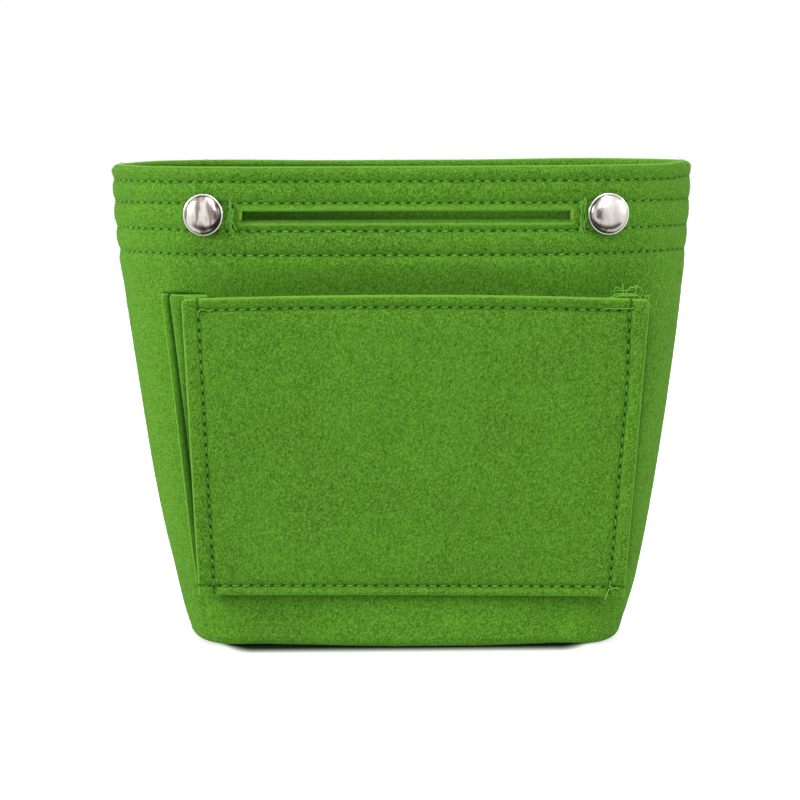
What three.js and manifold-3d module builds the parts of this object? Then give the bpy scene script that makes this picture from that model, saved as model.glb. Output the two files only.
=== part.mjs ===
// Felt purse organizer insert: an open-topped oval felt body with a stitched top band, a long slit,
// four snaps and a bellows pocket on its front. Millimetres, +Z up, the front faces -Y.
// The origin is the centre of the underside of the base.
import * as THREE from "three";
import { mergeVertices } from "three/addons/utils/BufferGeometryUtils.js";
import Module from "manifold-3d";

const wasm = await Module();
wasm.setup();

// Driving dimensions of the body
const bodyHeight = 172;
const baseHalfWidth = 78.8;
const rimHalfWidth = 106.3;
const sideSwell = 14.8;
const baseHalfDepth = 41.5;
const rimHalfDepth = 43;
const baseCornerAlong = 19;
const rimCornerAlong = 50;
const baseCornerDeep = 19;
const rimSideFlat = 2.5;
const frontBow = 1.6;
const feltThickness = 2.5;
const baseThickness = 3;
const baseRounding = 3.5;
const clearance = 0.3;
const cutOverrun = 5;

// Top band: its stitched rows are measured down from the rim
const rowDepths = [5.1, 13.5, 23.2, 31.5];
const bandHeight = 36.5;
const ribBulge = 0.7;
const grooveDepth = 0.5;
const grooveHalfHeight = 1.2;
const rimRounding = 1;
const threadRadius = 0.4;

// Slit through the front of the band
const slitDepth = 18.15;
const slitSnapDistance = 13.2;
const slitHeight = 4.5;
const tackCapGap = 1.7;
const tackWidth = 1.4;
const tackThickness = 0.8;
const tackOverlap = 1.2;

// Snaps
const snapSideDistance = 35.5;
const snapDepth = 17.5;
const capRadius = 7.5;
const capHeight = 3.1;
const capRimHeight = 0.9;
const capLipRadius = 0.45;
const postRadius = 1.9;
const postReach = 0.6;
const socketRadius = 5.6;
const socketHeight = 2.2;
const socketBoreRadius = 2.7;
const socketWall = 1.1;
const studFlangeHeight = 1;
const studNeckRadius = 2.2;
const studHeadRadius = 2.5;
const studHeight = 2.9;

// Front pocket
const pocketTopDepth = 46.2;
const pocketBottom = 19.3;
const pocketArch = 1.2;
const pocketTopLeftMargin = 27.7;
const pocketTopRightMargin = 21.5;
const pocketBottomLeftMargin = 4.5;
const pocketBottomRightMargin = 0.9;
const pocketStandoff = 6.4;
const hemStitchDrop = 4.2;
const sideStitchInset = 5.2;
const bottomStitchRise = 3.5;

// Gussets of the pocket
const gussetThickness = 1.4;
const gussetClearance = 0.35;
const gussetTopMargin = 20.95;
const gussetBottomMargin = 9.3;
const gussetFlange = 3;
const gussetPleatTop = 16;
const gussetPleatBottom = 6;
const gussetFoldSag = 1.2;
const gussetTopRise = 0.7;
const gussetFoot = 3.4;
const gussetPanelInset = 0.8;

// Shares of the sizes above, which only space the points of the shapes
const frontShare = 0.4;
const cornerShare = 0.92;
const frontSpacingShares = [0, 0.5, 1];
const cornerSegments = 10;
const lowerLevelShares = [0.1, 0.25, 0.4, 0.55, 0.7, 0.85];
const facingLevelShares = [0.5];
const ribCrownShares = [0.3, 0.7];
const roundSegments = 4;
const latheSegments = 24;
const smallLatheSegments = 18;
const threadSides = 4;
const panelColumns = 12;
const gussetFoldShare = 0.3;
const gussetWallShare = 0.6;
const gussetPanelShare = 0.5;
const gussetRows = 5;
const gussetSamples = 14;
const searchSteps = 40;
const turnStep = 1e-4;

const colours = { felt: 0x51882a, feltInner: 0x467c22, thread: 0x6ea240, metal: 0xd9dcdf };
const { lerp } = THREE.MathUtils;

// The two halves of a layer meet at the sides with the clearance between them
const seamHalfGap = clearance / 2;

function feltMaterial(colour = colours.felt) {
  return new THREE.MeshStandardMaterial({ color: colour, roughness: 0.95, metalness: 0 });
}

function threadMaterial() {
  return new THREE.MeshStandardMaterial({ color: colours.thread, roughness: 0.7, metalness: 0 });
}

function metalMaterial() {
  return new THREE.MeshStandardMaterial({ color: colours.metal, roughness: 0.22, metalness: 1 });
}

const group = new THREE.Group();

function addMesh(name, geometry, material, parent = group) {
  const mesh = new THREE.Mesh(geometry, material);
  mesh.name = name;
  parent.add(mesh);
  return mesh;
}

// Places along the front that follow from the body's sizes
const snapOffset = rimHalfWidth - snapSideDistance;
const slitHalfLength = snapOffset - slitSnapDistance;
const tackOffset = snapOffset - capRadius - tackCapGap;
const pocketTop = bodyHeight - pocketTopDepth;
const pocketTopLeft = rimHalfWidth - pocketTopLeftMargin;
const pocketTopRight = rimHalfWidth - pocketTopRightMargin;
const pocketBottomLeft = baseHalfWidth - pocketBottomLeftMargin;
const pocketBottomRight = baseHalfWidth - pocketBottomRightMargin;

// Plan of the body: its half sizes and its corners at a height
function halfWidthAt(z) {
  const share = z / bodyHeight;
  return lerp(baseHalfWidth, rimHalfWidth, share) + sideSwell * share * (1 - share);
}

function halfDepthAt(z) {
  return lerp(baseHalfDepth, rimHalfDepth, z / bodyHeight);
}

function cornerAt(z) {
  const share = z / bodyHeight;
  return {
    along: lerp(baseCornerAlong, rimCornerAlong, share),
    deep: lerp(baseCornerDeep, rimHalfDepth - rimSideFlat, share),
  };
}

// A point on the front half of the plan. The turn runs from -1 at the left side seam, past 0 in the
// middle of the front, to 1 at the right side seam.
function planPoint(z, turn) {
  const halfWidth = halfWidthAt(z);
  const halfDepth = halfDepthAt(z);
  const corner = cornerAt(z);
  const straight = halfWidth - corner.along;
  const away = Math.abs(turn);
  let x = straight * Math.min(away / frontShare, 1);
  let y = halfDepth;
  if (away > frontShare) {
    const share = Math.min((away - frontShare) / (cornerShare - frontShare), 1);
    const angle = (share * Math.PI) / 2;
    x = straight + corner.along * Math.sin(angle);
    y = halfDepth - corner.deep * (1 - Math.cos(angle));
  }
  if (away > cornerShare) {
    const share = (away - cornerShare) / (1 - cornerShare);
    y = lerp(halfDepth - corner.deep, seamHalfGap, share);
  }
  const bow = (frontBow / halfDepth) * (x / halfWidth) ** 2;
  return new THREE.Vector2(Math.sign(turn) * x, -y * (1 - bow));
}

// A point at a distance outside the plan, square to it
function offsetPoint(z, turn, out) {
  const before = planPoint(z, Math.max(turn - turnStep, -1));
  const after = planPoint(z, Math.min(turn + turnStep, 1));
  const along = after.sub(before).normalize();
  const point = planPoint(z, turn);
  return new THREE.Vector3(point.x + along.y * out, point.y - along.x * out, z);
}

// The turn at which the plan reaches a given x
function turnAt(z, x) {
  let low = 0;
  let high = cornerShare;
  for (let step = 0; step < searchSteps; step += 1) {
    const middle = (low + high) / 2;
    if (planPoint(z, middle).x < Math.abs(x)) low = middle;
    else high = middle;
  }
  return Math.sign(x) * low;
}

function stationTurns() {
  const turns = frontSpacingShares.map((share) => share * frontShare);
  for (let i = 1; i <= cornerSegments; i += 1) {
    turns.push(lerp(frontShare, cornerShare, i / cornerSegments));
  }
  turns.push(1);
  const left = turns.slice(1).reverse();
  return [...left.map((turn) => -turn), ...turns];
}

// Closed solids from vertices and triangles
function signedVolume(vertices, triangles) {
  return triangles.reduce((sum, [a, b, c]) => {
    return sum + vertices[a].dot(new THREE.Vector3().crossVectors(vertices[b], vertices[c]));
  }, 0);
}

function solidGeometry(vertices, triangles) {
  const inwards = signedVolume(vertices, triangles) < 0;
  const order = triangles.flatMap(([a, b, c]) => (inwards ? [a, c, b] : [a, b, c]));
  const geometry = new THREE.BufferGeometry().setFromPoints(vertices);
  geometry.setIndex(order);
  geometry.computeVertexNormals();
  return geometry;
}

// A solid from equal rings of points, one after the other. The rings close on themselves, and so
// does the row of rings if it is closed; otherwise its first and last ring get a flat cover.
function ringSolid(rings, closed, flatten = null) {
  const count = rings[0].length;
  const triangles = [];
  const last = closed ? rings.length : rings.length - 1;
  for (let i = 0; i < last; i += 1) {
    const here = i * count;
    const next = ((i + 1) % rings.length) * count;
    for (let j = 0; j < count; j += 1) {
      const k = (j + 1) % count;
      triangles.push([here + j, next + j, next + k], [here + j, next + k, here + k]);
    }
  }
  if (!closed) {
    const faces = THREE.ShapeUtils.triangulateShape(flatten, []);
    const end = (rings.length - 1) * count;
    const turnsLeft = THREE.ShapeUtils.area(flatten) > 0;
    for (const face of faces) {
      const [a, b, c] = turnsLeft ? face : [face[0], face[2], face[1]];
      triangles.push([a, b, c], [end + a, end + c, end + b]);
    }
  }
  return solidGeometry(rings.flat(), triangles);
}

// A layer of the body: its section, in distances outside the plan and heights, is swept round the
// front half or the back half
function layerGeometry(section, back) {
  const rings = stationTurns().map((turn) =>
    section.map(({ out, z }) => {
      const point = offsetPoint(z, turn, out);
      return back ? point.setY(-point.y) : point;
    }),
  );
  return ringSolid(rings, false, section.map(({ out, z }) => new THREE.Vector2(out, z)));
}

const rowHeights = rowDepths.map((depth) => bodyHeight - depth);

// Outside of the band from the rim down: ribs stand out between the stitched rows
function bandOutside() {
  const points = [];
  rowHeights.forEach((height, i) => {
    const above = i === 0 ? bodyHeight - rimRounding : rowHeights[i - 1] - grooveHalfHeight;
    if (i > 0) {
      const foot = height + grooveHalfHeight;
      for (const share of ribCrownShares) {
        points.push({ out: ribBulge, z: lerp(above, foot, share) });
      }
    }
    points.push({ out: 0, z: height + grooveHalfHeight });
    points.push({ out: -grooveDepth, z: height });
    points.push({ out: 0, z: height - grooveHalfHeight });
  });
  return points;
}

function wallSection() {
  const foot = baseRounding + clearance;
  const bandFoot = bodyHeight - bandHeight;
  const inside = -feltThickness;
  const levels = lowerLevelShares.map((share) => lerp(foot, bandFoot, share));
  return [
    { out: inside, z: foot },
    ...levels.map((z) => ({ out: inside, z })),
    { out: inside, z: bandFoot },
    { out: inside, z: bodyHeight },
    { out: -rimRounding, z: bodyHeight },
    { out: 0, z: bodyHeight - rimRounding },
    ...bandOutside(),
    { out: 0, z: bandFoot },
    ...levels.map((z) => ({ out: 0, z })).reverse(),
    { out: 0, z: foot },
  ];
}

// The facing lies inside the wall, over the height of the band
const facingOutside = -feltThickness - clearance;
const facingInside = facingOutside - feltThickness;

function facingSection() {
  const foot = bodyHeight - bandHeight;
  const levels = facingLevelShares.map((share) => lerp(foot, bodyHeight, share));
  return [
    { out: facingInside, z: foot },
    ...levels.map((z) => ({ out: facingInside, z })),
    { out: facingInside, z: bodyHeight - rimRounding },
    { out: facingInside + rimRounding, z: bodyHeight },
    { out: facingOutside, z: bodyHeight },
    ...levels.map((z) => ({ out: facingOutside, z })).reverse(),
    { out: facingOutside, z: foot },
  ];
}

// Cuts with manifold-3d
function toManifold(geometry) {
  const bare = geometry.clone();
  bare.deleteAttribute("normal");
  bare.deleteAttribute("uv");
  const merged = mergeVertices(bare);
  const mesh = new wasm.Mesh({
    numProp: 3,
    vertProperties: merged.attributes.position.array,
    triVerts: new Uint32Array(merged.index.array),
  });
  return new wasm.Manifold(mesh);
}

function fromManifold(solid) {
  const { vertProperties, triVerts } = solid.getMesh();
  const geometry = new THREE.BufferGeometry();
  geometry.setAttribute("position", new THREE.BufferAttribute(vertProperties, 3));
  geometry.setIndex(new THREE.BufferAttribute(triVerts, 1));
  geometry.computeVertexNormals();
  return geometry;
}

function cutAway(geometry, cutters) {
  const left = cutters.reduce((solid, cutter) => solid.subtract(toManifold(cutter)), toManifold(geometry));
  return fromManifold(left);
}

// Where a snap sits: the middle of its seat on the wall and the outward direction there
const snapHeight = bodyHeight - snapDepth;

function snapFrame(side, back) {
  const turn = turnAt(snapHeight, side * snapOffset);
  const middle = offsetPoint(snapHeight, turn, 0);
  const out = offsetPoint(snapHeight, turn, 1).sub(middle);
  const up = offsetPoint(snapHeight + snapDepth, turn, 0).sub(middle);
  const along = new THREE.Vector3().crossVectors(up, out);
  const outward = new THREE.Vector3().crossVectors(along, up).normalize();
  if (back) {
    middle.y *= -1;
    outward.y *= -1;
  }
  return { middle, outward };
}

function placeOnSnap(object, side, back) {
  const { middle, outward } = snapFrame(side, back);
  object.quaternion.setFromUnitVectors(new THREE.Vector3(0, 1, 0), outward);
  object.position.copy(middle);
  return object;
}

function snapHoleGeometry(side, back) {
  const radius = postRadius + clearance;
  const length = 2 * (2 * feltThickness + cutOverrun);
  const hole = new THREE.CylinderGeometry(radius, radius, length, smallLatheSegments);
  const holder = placeOnSnap(new THREE.Object3D(), side, back);
  holder.updateMatrix();
  return hole.applyMatrix4(holder.matrix);
}

const slitHeightMiddle = bodyHeight - slitDepth;

function slitGeometry() {
  const depth = 2 * rimHalfDepth;
  const box = new THREE.BoxGeometry(2 * slitHalfLength, depth, slitHeight);
  return box.translate(0, -rimHalfDepth, slitHeightMiddle);
}

const sides = [
  { label: "left", sign: -1 },
  { label: "right", sign: 1 },
];

function addBody() {
  for (const back of [false, true]) {
    const half = back ? "back" : "front";
    const cutters = sides.map(({ sign }) => snapHoleGeometry(sign, back));
    if (!back) cutters.push(slitGeometry());
    const wall = cutAway(layerGeometry(wallSection(), back), cutters);
    const facing = cutAway(layerGeometry(facingSection(), back), cutters);
    addMesh(`${half}_wall`, wall, feltMaterial());
    addMesh(`${half}_facing`, facing, feltMaterial(colours.feltInner));
  }
  addMesh("base_panel", baseGeometry(), feltMaterial());
}

// Whole loop of the plan at a height and a distance outside it
function loopPoints(z, out) {
  const front = stationTurns().map((turn) => offsetPoint(z, turn, out));
  const back = front.map((point) => new THREE.Vector3(point.x, -point.y, point.z));
  return [...front, ...back.reverse()];
}

// Base: a flat bottom whose edge turns up in a quarter round to meet the walls
function baseGeometry() {
  const rings = [];
  for (let i = 0; i <= roundSegments; i += 1) {
    const angle = ((i / roundSegments) * Math.PI) / 2;
    const out = baseRounding * (Math.sin(angle) - 1);
    rings.push(loopPoints(baseRounding * (1 - Math.cos(angle)), out));
  }
  const innerRounding = baseRounding - baseThickness;
  for (let i = roundSegments; i >= 0; i -= 1) {
    const angle = ((i / roundSegments) * Math.PI) / 2;
    const out = innerRounding * Math.sin(angle) - baseRounding;
    rings.push(loopPoints(baseRounding - innerRounding * Math.cos(angle), out));
  }
  return ringSolid(rings, false, rings[0].map(({ x, y }) => new THREE.Vector2(x, y)));
}

// Stitched rows: a thin thread ring in each groove
function addRowStitching() {
  const middle = -grooveDepth + clearance + threadRadius;
  rowHeights.forEach((height, i) => {
    const rings = [];
    for (let side = 0; side < threadSides; side += 1) {
      const angle = (side / threadSides) * 2 * Math.PI;
      const out = middle + threadRadius * Math.cos(angle);
      rings.push(loopPoints(height + threadRadius * Math.sin(angle), out));
    }
    addMesh(`band_stitching_${i + 1}`, ringSolid(rings, true), threadMaterial());
  });
}

// A thin sheet between two faces, each a function of two shares
function sheetGeometry(frontFace, backFace, columns, rows) {
  const rings = [];
  for (let i = 0; i <= rows; i += 1) {
    const near = [];
    const far = [];
    for (let j = 0; j <= columns; j += 1) {
      near.push(frontFace(j / columns, i / rows));
      far.push(backFace(j / columns, i / rows));
    }
    rings.push([...near, ...far.reverse()]);
  }
  const flat = rings[0].map((point, i) => {
    const across = i <= columns ? i : 2 * columns + 1 - i;
    return new THREE.Vector2(across, i <= columns ? 0 : 1);
  });
  return ringSolid(rings, false, flat);
}

// Bar tacks beside the ends of the slit, over the ribs between the second and third rows
function addSlitTacks() {
  const [, top, bottom] = rowHeights;
  const seat = ribBulge + clearance;
  for (const { label, sign } of sides) {
    const face = (out) => (across, up) => {
      const z = lerp(bottom - tackOverlap, top + tackOverlap, up);
      const x = sign * tackOffset + (across - 0.5) * tackWidth;
      return offsetPoint(z, turnAt(z, x), out);
    };
    const geometry = sheetGeometry(face(seat + tackThickness), face(seat), 1, 2);
    addMesh(`slit_tack_${label}`, geometry, threadMaterial());
  }
}

// Snaps: a domed cap with a post through both layers, and a socket or a stud on the inside
const capSeat = ribBulge + clearance;
const snapBackSeat = facingInside - 2 * clearance;

function latheGeometry(profile, segments) {
  return new THREE.LatheGeometry(
    profile.map(([radius, height]) => new THREE.Vector2(radius, height)),
    segments,
  );
}

function capGeometry() {
  const dome = capHeight - capRimHeight;
  const inner = capRadius - 2 * capLipRadius;
  const profile = [
    [0, snapBackSeat - postReach],
    [postRadius, snapBackSeat - postReach],
    [postRadius, capSeat],
    [capRadius - capLipRadius, capSeat],
    [capRadius, capSeat + capLipRadius],
    [capRadius - capLipRadius, capSeat + capRimHeight],
  ];
  for (let i = 0; i <= roundSegments; i += 1) {
    const angle = ((i / roundSegments) * Math.PI) / 2;
    profile.push([inner * Math.cos(angle), capSeat + capRimHeight + dome * Math.sin(angle)]);
  }
  profile[profile.length - 1][0] = 0;
  return latheGeometry(profile, latheSegments);
}

function socketGeometry() {
  const top = snapBackSeat - socketHeight;
  const shoulder = socketBoreRadius + socketWall;
  const profile = [
    [socketBoreRadius, snapBackSeat],
    [socketBoreRadius, top],
    [shoulder, top],
    [shoulder, snapBackSeat - capRimHeight],
    [socketRadius, snapBackSeat - capRimHeight],
    [socketRadius, snapBackSeat],
    [socketBoreRadius, snapBackSeat],
  ];
  return latheGeometry(profile, smallLatheSegments);
}

function studGeometry() {
  const recess = postRadius + clearance;
  const flange = snapBackSeat - studFlangeHeight;
  const head = snapBackSeat - studHeight;
  const neckTop = head + 2 * (studHeadRadius - studNeckRadius);
  const profile = [
    [0, head],
    [studNeckRadius, head],
    [studHeadRadius, (head + neckTop) / 2],
    [studNeckRadius, neckTop],
    [studNeckRadius, flange],
    [socketRadius, flange],
    [socketRadius, snapBackSeat],
    [recess, snapBackSeat],
    [recess, snapBackSeat - postReach - clearance / 2],
    [0, snapBackSeat - postReach - clearance / 2],
  ];
  return latheGeometry(profile, smallLatheSegments);
}

function addSnaps() {
  for (const back of [false, true]) {
    const half = back ? "back" : "front";
    for (const { label, sign } of sides) {
      const holder = placeOnSnap(new THREE.Group(), sign, back);
      group.add(holder);
      addMesh(`snap_cap_${half}_${label}`, capGeometry(), metalMaterial(), holder);
      const inner = back ? studGeometry() : socketGeometry();
      const name = back ? `snap_stud_${label}` : `snap_socket_${label}`;
      addMesh(name, inner, metalMaterial(), holder);
    }
  }
}

// Pocket panel: its edges lean as they rise, its inner face stands away from the wall at the top
const pocketHeight = pocketTop - pocketBottom;

function pocketEdge(sign, z) {
  const share = (z - pocketBottom) / pocketHeight;
  const low = sign < 0 ? -pocketBottomLeft : pocketBottomRight;
  const high = sign < 0 ? -pocketTopLeft : pocketTopRight;
  return lerp(low, high, share);
}

function pocketInnerY(z) {
  const share = (z - pocketBottom) / pocketHeight;
  const low = -halfDepthAt(pocketBottom) - clearance;
  const high = -halfDepthAt(pocketTop) - pocketStandoff;
  return lerp(low, high, share);
}

function pocketTopAt(across) {
  return pocketTop + pocketArch * (1 - (2 * across - 1) ** 2);
}

function pocketPoint(across, up, out) {
  const z = lerp(pocketBottom, pocketTopAt(across), up);
  const x = lerp(pocketEdge(-1, z), pocketEdge(1, z), across);
  return new THREE.Vector3(x, pocketInnerY(z) - out, z);
}

function addPocketPanel() {
  const outside = (across, up) => pocketPoint(across, up, feltThickness);
  const inside = (across, up) => pocketPoint(across, up, 0);
  addMesh("pocket_panel", sheetGeometry(outside, inside, panelColumns, 1), feltMaterial());
}

// A thread on the panel's outer face, along a line of panel x and z
function panelThread(line, columns, rows) {
  const seat = feltThickness + clearance;
  const face = (out) => (across, up) => {
    const { x, z } = line(across, up);
    return new THREE.Vector3(x, pocketInnerY(z) - out, z);
  };
  return sheetGeometry(face(seat + threadRadius), face(seat), columns, rows);
}

const threadWidth = 2 * threadRadius;
const pocketStitchBottom = pocketBottom + bottomStitchRise;
const pocketStitchTop = pocketTop - hemStitchDrop;

function addPocketStitching() {
  const stop = threadWidth / 2 + clearance;
  for (const { label, sign } of sides) {
    const line = (across, up) => {
      const z = lerp(pocketStitchBottom + stop, pocketStitchTop - stop, up);
      const x = pocketEdge(sign, z) - sign * sideStitchInset + (across - 0.5) * threadWidth;
      return { x, z };
    };
    addMesh(`pocket_side_stitching_${label}`, panelThread(line, 1, 1), threadMaterial());
  }
  const rowLine = (height, arch) => (across, up) => {
    const lift = arch * (1 - (2 * across - 1) ** 2);
    const z = height + lift + (up - 0.5) * threadWidth;
    const left = pocketEdge(-1, z) + sideStitchInset;
    const right = pocketEdge(1, z) - sideStitchInset;
    return { x: lerp(left, right, across), z };
  };
  const hem = panelThread(rowLine(pocketStitchTop, pocketArch), panelColumns, 1);
  const foot = panelThread(rowLine(pocketStitchBottom, 0), panelColumns, 1);
  addMesh("pocket_hem_stitching", hem, threadMaterial());
  addMesh("pocket_bottom_stitching", foot, threadMaterial());
}

// Gusset: a strip folded inwards between the wall and the panel, one leaf on each
const gussetLow = pocketBottom + gussetFoot;
const gussetHigh = pocketTop + gussetTopRise;
const gussetLift = gussetClearance + gussetThickness / 2;

const gussetEdgeBottom = halfWidthAt(gussetLow) - gussetBottomMargin;
const gussetEdgeTop = rimHalfWidth - gussetTopMargin;

function gussetEdge(z) {
  return lerp(gussetEdgeBottom, gussetEdgeTop, (z - gussetLow) / (gussetHigh - gussetLow));
}

function gussetFold(z) {
  const share = (z - gussetLow) / (gussetHigh - gussetLow);
  const pleat = lerp(gussetPleatBottom, gussetPleatTop, share);
  return gussetEdge(z) - pleat + 4 * gussetFoldSag * share * (1 - share);
}

function gussetCentreLine(sign, z) {
  const edge = gussetEdge(z);
  const fold = gussetFold(z);
  const panelEdge = Math.abs(pocketEdge(sign, z)) - gussetPanelInset;
  const onWall = (x) => offsetPoint(z, turnAt(z, sign * x), gussetLift);
  const onPanel = (x) => new THREE.Vector3(sign * x, pocketInnerY(z) + gussetLift, z);
  const inner = lerp(fold, panelEdge, gussetFoldShare);
  const nearWall = onWall(inner);
  const nearPanel = onPanel(inner);
  const tip = nearWall.clone().lerp(nearPanel, 0.5).setX(sign * fold);
  const points = [
    onWall(edge),
    onWall(edge - gussetFlange),
    onWall(lerp(edge, fold, gussetWallShare)),
    nearWall,
    tip,
    nearPanel,
    onPanel(lerp(panelEdge, fold, gussetPanelShare)),
    onPanel(panelEdge),
  ];
  return new THREE.CatmullRomCurve3(points, false, "centripetal");
}

function gussetSection(sign, z) {
  const curve = gussetCentreLine(sign, z);
  const near = [];
  const far = [];
  for (let i = 0; i <= gussetSamples; i += 1) {
    const point = curve.getPoint(i / gussetSamples);
    const along = curve.getTangent(i / gussetSamples).setZ(0).normalize();
    const across = new THREE.Vector3(along.y, -along.x, 0).multiplyScalar(gussetThickness / 2);
    near.push(point.clone().add(across).setZ(z));
    far.push(point.clone().sub(across).setZ(z));
  }
  return [...near, ...far.reverse()];
}

function gussetGeometry(sign) {
  const rings = [];
  for (let i = 0; i <= gussetRows; i += 1) {
    rings.push(gussetSection(sign, lerp(gussetLow, gussetHigh, i / gussetRows)));
  }
  const flat = rings[0].map((point, i) => {
    const across = i <= gussetSamples ? i : 2 * gussetSamples + 1 - i;
    return new THREE.Vector2(across, i <= gussetSamples ? 0 : 1);
  });
  return ringSolid(rings, false, flat);
}

function gussetStitchingGeometry(sign) {
  const seat = gussetClearance + gussetThickness + clearance;
  const face = (out) => (across, up) => {
    const z = lerp(gussetLow, gussetHigh, up);
    const x = gussetEdge(z) - gussetFlange + (across - 0.5) * threadWidth;
    return offsetPoint(z, turnAt(z, sign * x), out);
  };
  return sheetGeometry(face(seat + threadRadius), face(seat), 1, gussetRows);
}

function addGussets() {
  for (const { label, sign } of sides) {
    addMesh(`gusset_${label}`, gussetGeometry(sign), feltMaterial());
    addMesh(`gusset_stitching_${label}`, gussetStitchingGeometry(sign), threadMaterial());
  }
}

addBody();
addRowStitching();
addSlitTacks();
addSnaps();
addPocketPanel();
addPocketStitching();
addGussets();

export default group;
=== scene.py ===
"""Felt purse organizer insert: the sewn felt body, its snaps and its front pocket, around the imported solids.

Lengths are millimetres until a mesh is made, +Z is up and the front faces -Y.
"""

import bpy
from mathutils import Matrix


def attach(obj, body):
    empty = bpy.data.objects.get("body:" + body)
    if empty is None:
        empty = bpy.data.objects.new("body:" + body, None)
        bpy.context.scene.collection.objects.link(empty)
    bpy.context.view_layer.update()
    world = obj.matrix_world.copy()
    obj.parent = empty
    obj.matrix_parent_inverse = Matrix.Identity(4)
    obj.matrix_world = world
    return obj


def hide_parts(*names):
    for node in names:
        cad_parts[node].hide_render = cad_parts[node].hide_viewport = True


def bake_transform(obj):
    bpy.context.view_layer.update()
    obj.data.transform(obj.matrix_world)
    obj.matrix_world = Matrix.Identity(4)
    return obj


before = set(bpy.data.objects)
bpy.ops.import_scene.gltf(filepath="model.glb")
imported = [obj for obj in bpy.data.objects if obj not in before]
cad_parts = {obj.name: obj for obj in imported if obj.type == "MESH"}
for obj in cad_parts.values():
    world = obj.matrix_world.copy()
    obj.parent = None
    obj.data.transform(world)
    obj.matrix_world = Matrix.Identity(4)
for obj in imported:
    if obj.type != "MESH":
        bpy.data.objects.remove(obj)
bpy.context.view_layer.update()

import logging
import math
from dataclasses import dataclass
from enum import Enum

import bmesh
import bpy
import numpy as np
from mathutils import Matrix, Vector

logging.basicConfig(level=logging.INFO, format="%(message)s")
log = logging.getLogger("organizer")

MM = 0.001
STITCH_PITCH = 3.7
FELT_THICKNESS = 2.5
SNAP_OFFSET = 70.8
SNAP_LEVEL = 154.5
FAR_FROM_SEAM = 10.0
MERGE_DISTANCE = 1e-7
SHARP_ANGLE = math.radians(62)
Array = np.ndarray
Point = tuple[float, float, float]
Colour = tuple[float, float, float]
Ends = tuple[float, float]


def blend_between(low: Array | float, high: Array | float, share: Array | float) -> Array | float:
    """Return the value a share of the way from low to high."""
    return low + (high - low) * share


def smooth_step(low: float, high: float, value: Array) -> Array:
    """Return 0 below low, 1 above high and a smooth rise between them."""
    share = np.clip((np.asarray(value, float) - low) / (high - low), 0, 1)
    return share * share * (3 - 2 * share)


def unit(vectors: Array) -> Array:
    """Return the vectors of the last axis at length one."""
    return vectors / np.maximum(np.linalg.norm(vectors, axis=-1, keepdims=True), 1e-9)


def thinned(values: list[float], gap: float, kept: list[float]) -> Array:
    """Sort places along an axis and drop those that crowd a kept one.

    Args:
        values: the regular places.
        gap: the least distance to a kept place.
        kept: places that always stay.

    Returns:
        The sorted places.
    """
    fixed = np.array(sorted(set(kept)))
    regular = [v for v in values if not len(fixed) or np.abs(fixed - v).min() > gap]
    return np.array(sorted(regular + list(fixed)))


def edge_share(distance: Array, radius: float) -> Array:
    """Return how far a rounded edge has dropped at a distance from it, as a share of its radius."""
    share = 1 - np.clip(distance / radius, 0, 1)
    return 1 - np.sqrt(np.clip(1 - share**2, 0, 1))


def edge_drop(distance: Array, radius: float) -> Array:
    """Return how far a rounded edge drops at a distance from it."""
    return radius * edge_share(distance, radius)


def plateau(value: Array, foot: float, top: float, brink: float, end: float) -> Array:
    """Return a smooth rise from foot to top and a smooth fall from brink to end."""
    return smooth_step(foot, top, value) * (1 - smooth_step(brink, end, value))


def bowed(share: Array) -> Array:
    """Return 0 at both ends of a share and 1 halfway."""
    return 1 - (2 * share - 1) ** 2


def bell(value: Array, width: float) -> Array:
    """Return 1 at zero and a smooth fall on both sides of it."""
    return np.exp(-((value / width) ** 2))


def cell_middles(grid: Array) -> Array:
    """Return the middle values of a grid's cells."""
    return (grid[:-1, :-1] + grid[1:, 1:]) / 2


def stitch_places(low: float, high: float, pitch: float) -> Array:
    """Return the middles of the stitches that fit between the two ends of a seam."""
    first, last = math.ceil(low / pitch - 0.5), math.floor(high / pitch - 0.5)
    return (np.arange(first, last + 1) + 0.5) * pitch


class Value:
    """One socket of a node sheet, in arithmetic."""

    def __init__(self, sheet: "NodeSheet", socket: bpy.types.NodeSocket) -> None:
        """Keep the sheet and the socket."""
        self.sheet = sheet
        self.socket = socket

    def __add__(self, other: "Value | float") -> "Value":
        """Add."""
        return self.sheet.math("ADD", self, other)

    __radd__ = __add__

    def __sub__(self, other: "Value | float") -> "Value":
        """Subtract."""
        return self.sheet.math("SUBTRACT", self, other)

    def __rsub__(self, other: "Value | float") -> "Value":
        """Subtract from a number."""
        return self.sheet.math("SUBTRACT", other, self)

    def __mul__(self, other: "Value | float") -> "Value":
        """Multiply."""
        return self.sheet.math("MULTIPLY", self, other)

    __rmul__ = __mul__

    def __abs__(self) -> "Value":
        """Drop the sign."""
        return self.sheet.math("ABSOLUTE", self)

    def rise(self, low: float, high: float) -> "Value":
        """Return a smooth rise from 0 at low to 1 at high, or a fall where low is the larger."""
        settings = {"interpolation_type": "SMOOTHSTEP"}
        flipped = low > high
        near, far = (high, low) if flipped else (low, high)
        inputs = {0: self, 1: near, 2: far, 3: float(flipped), 4: float(not flipped)}
        return self.sheet.value("ShaderNodeMapRange", settings, inputs)


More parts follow.
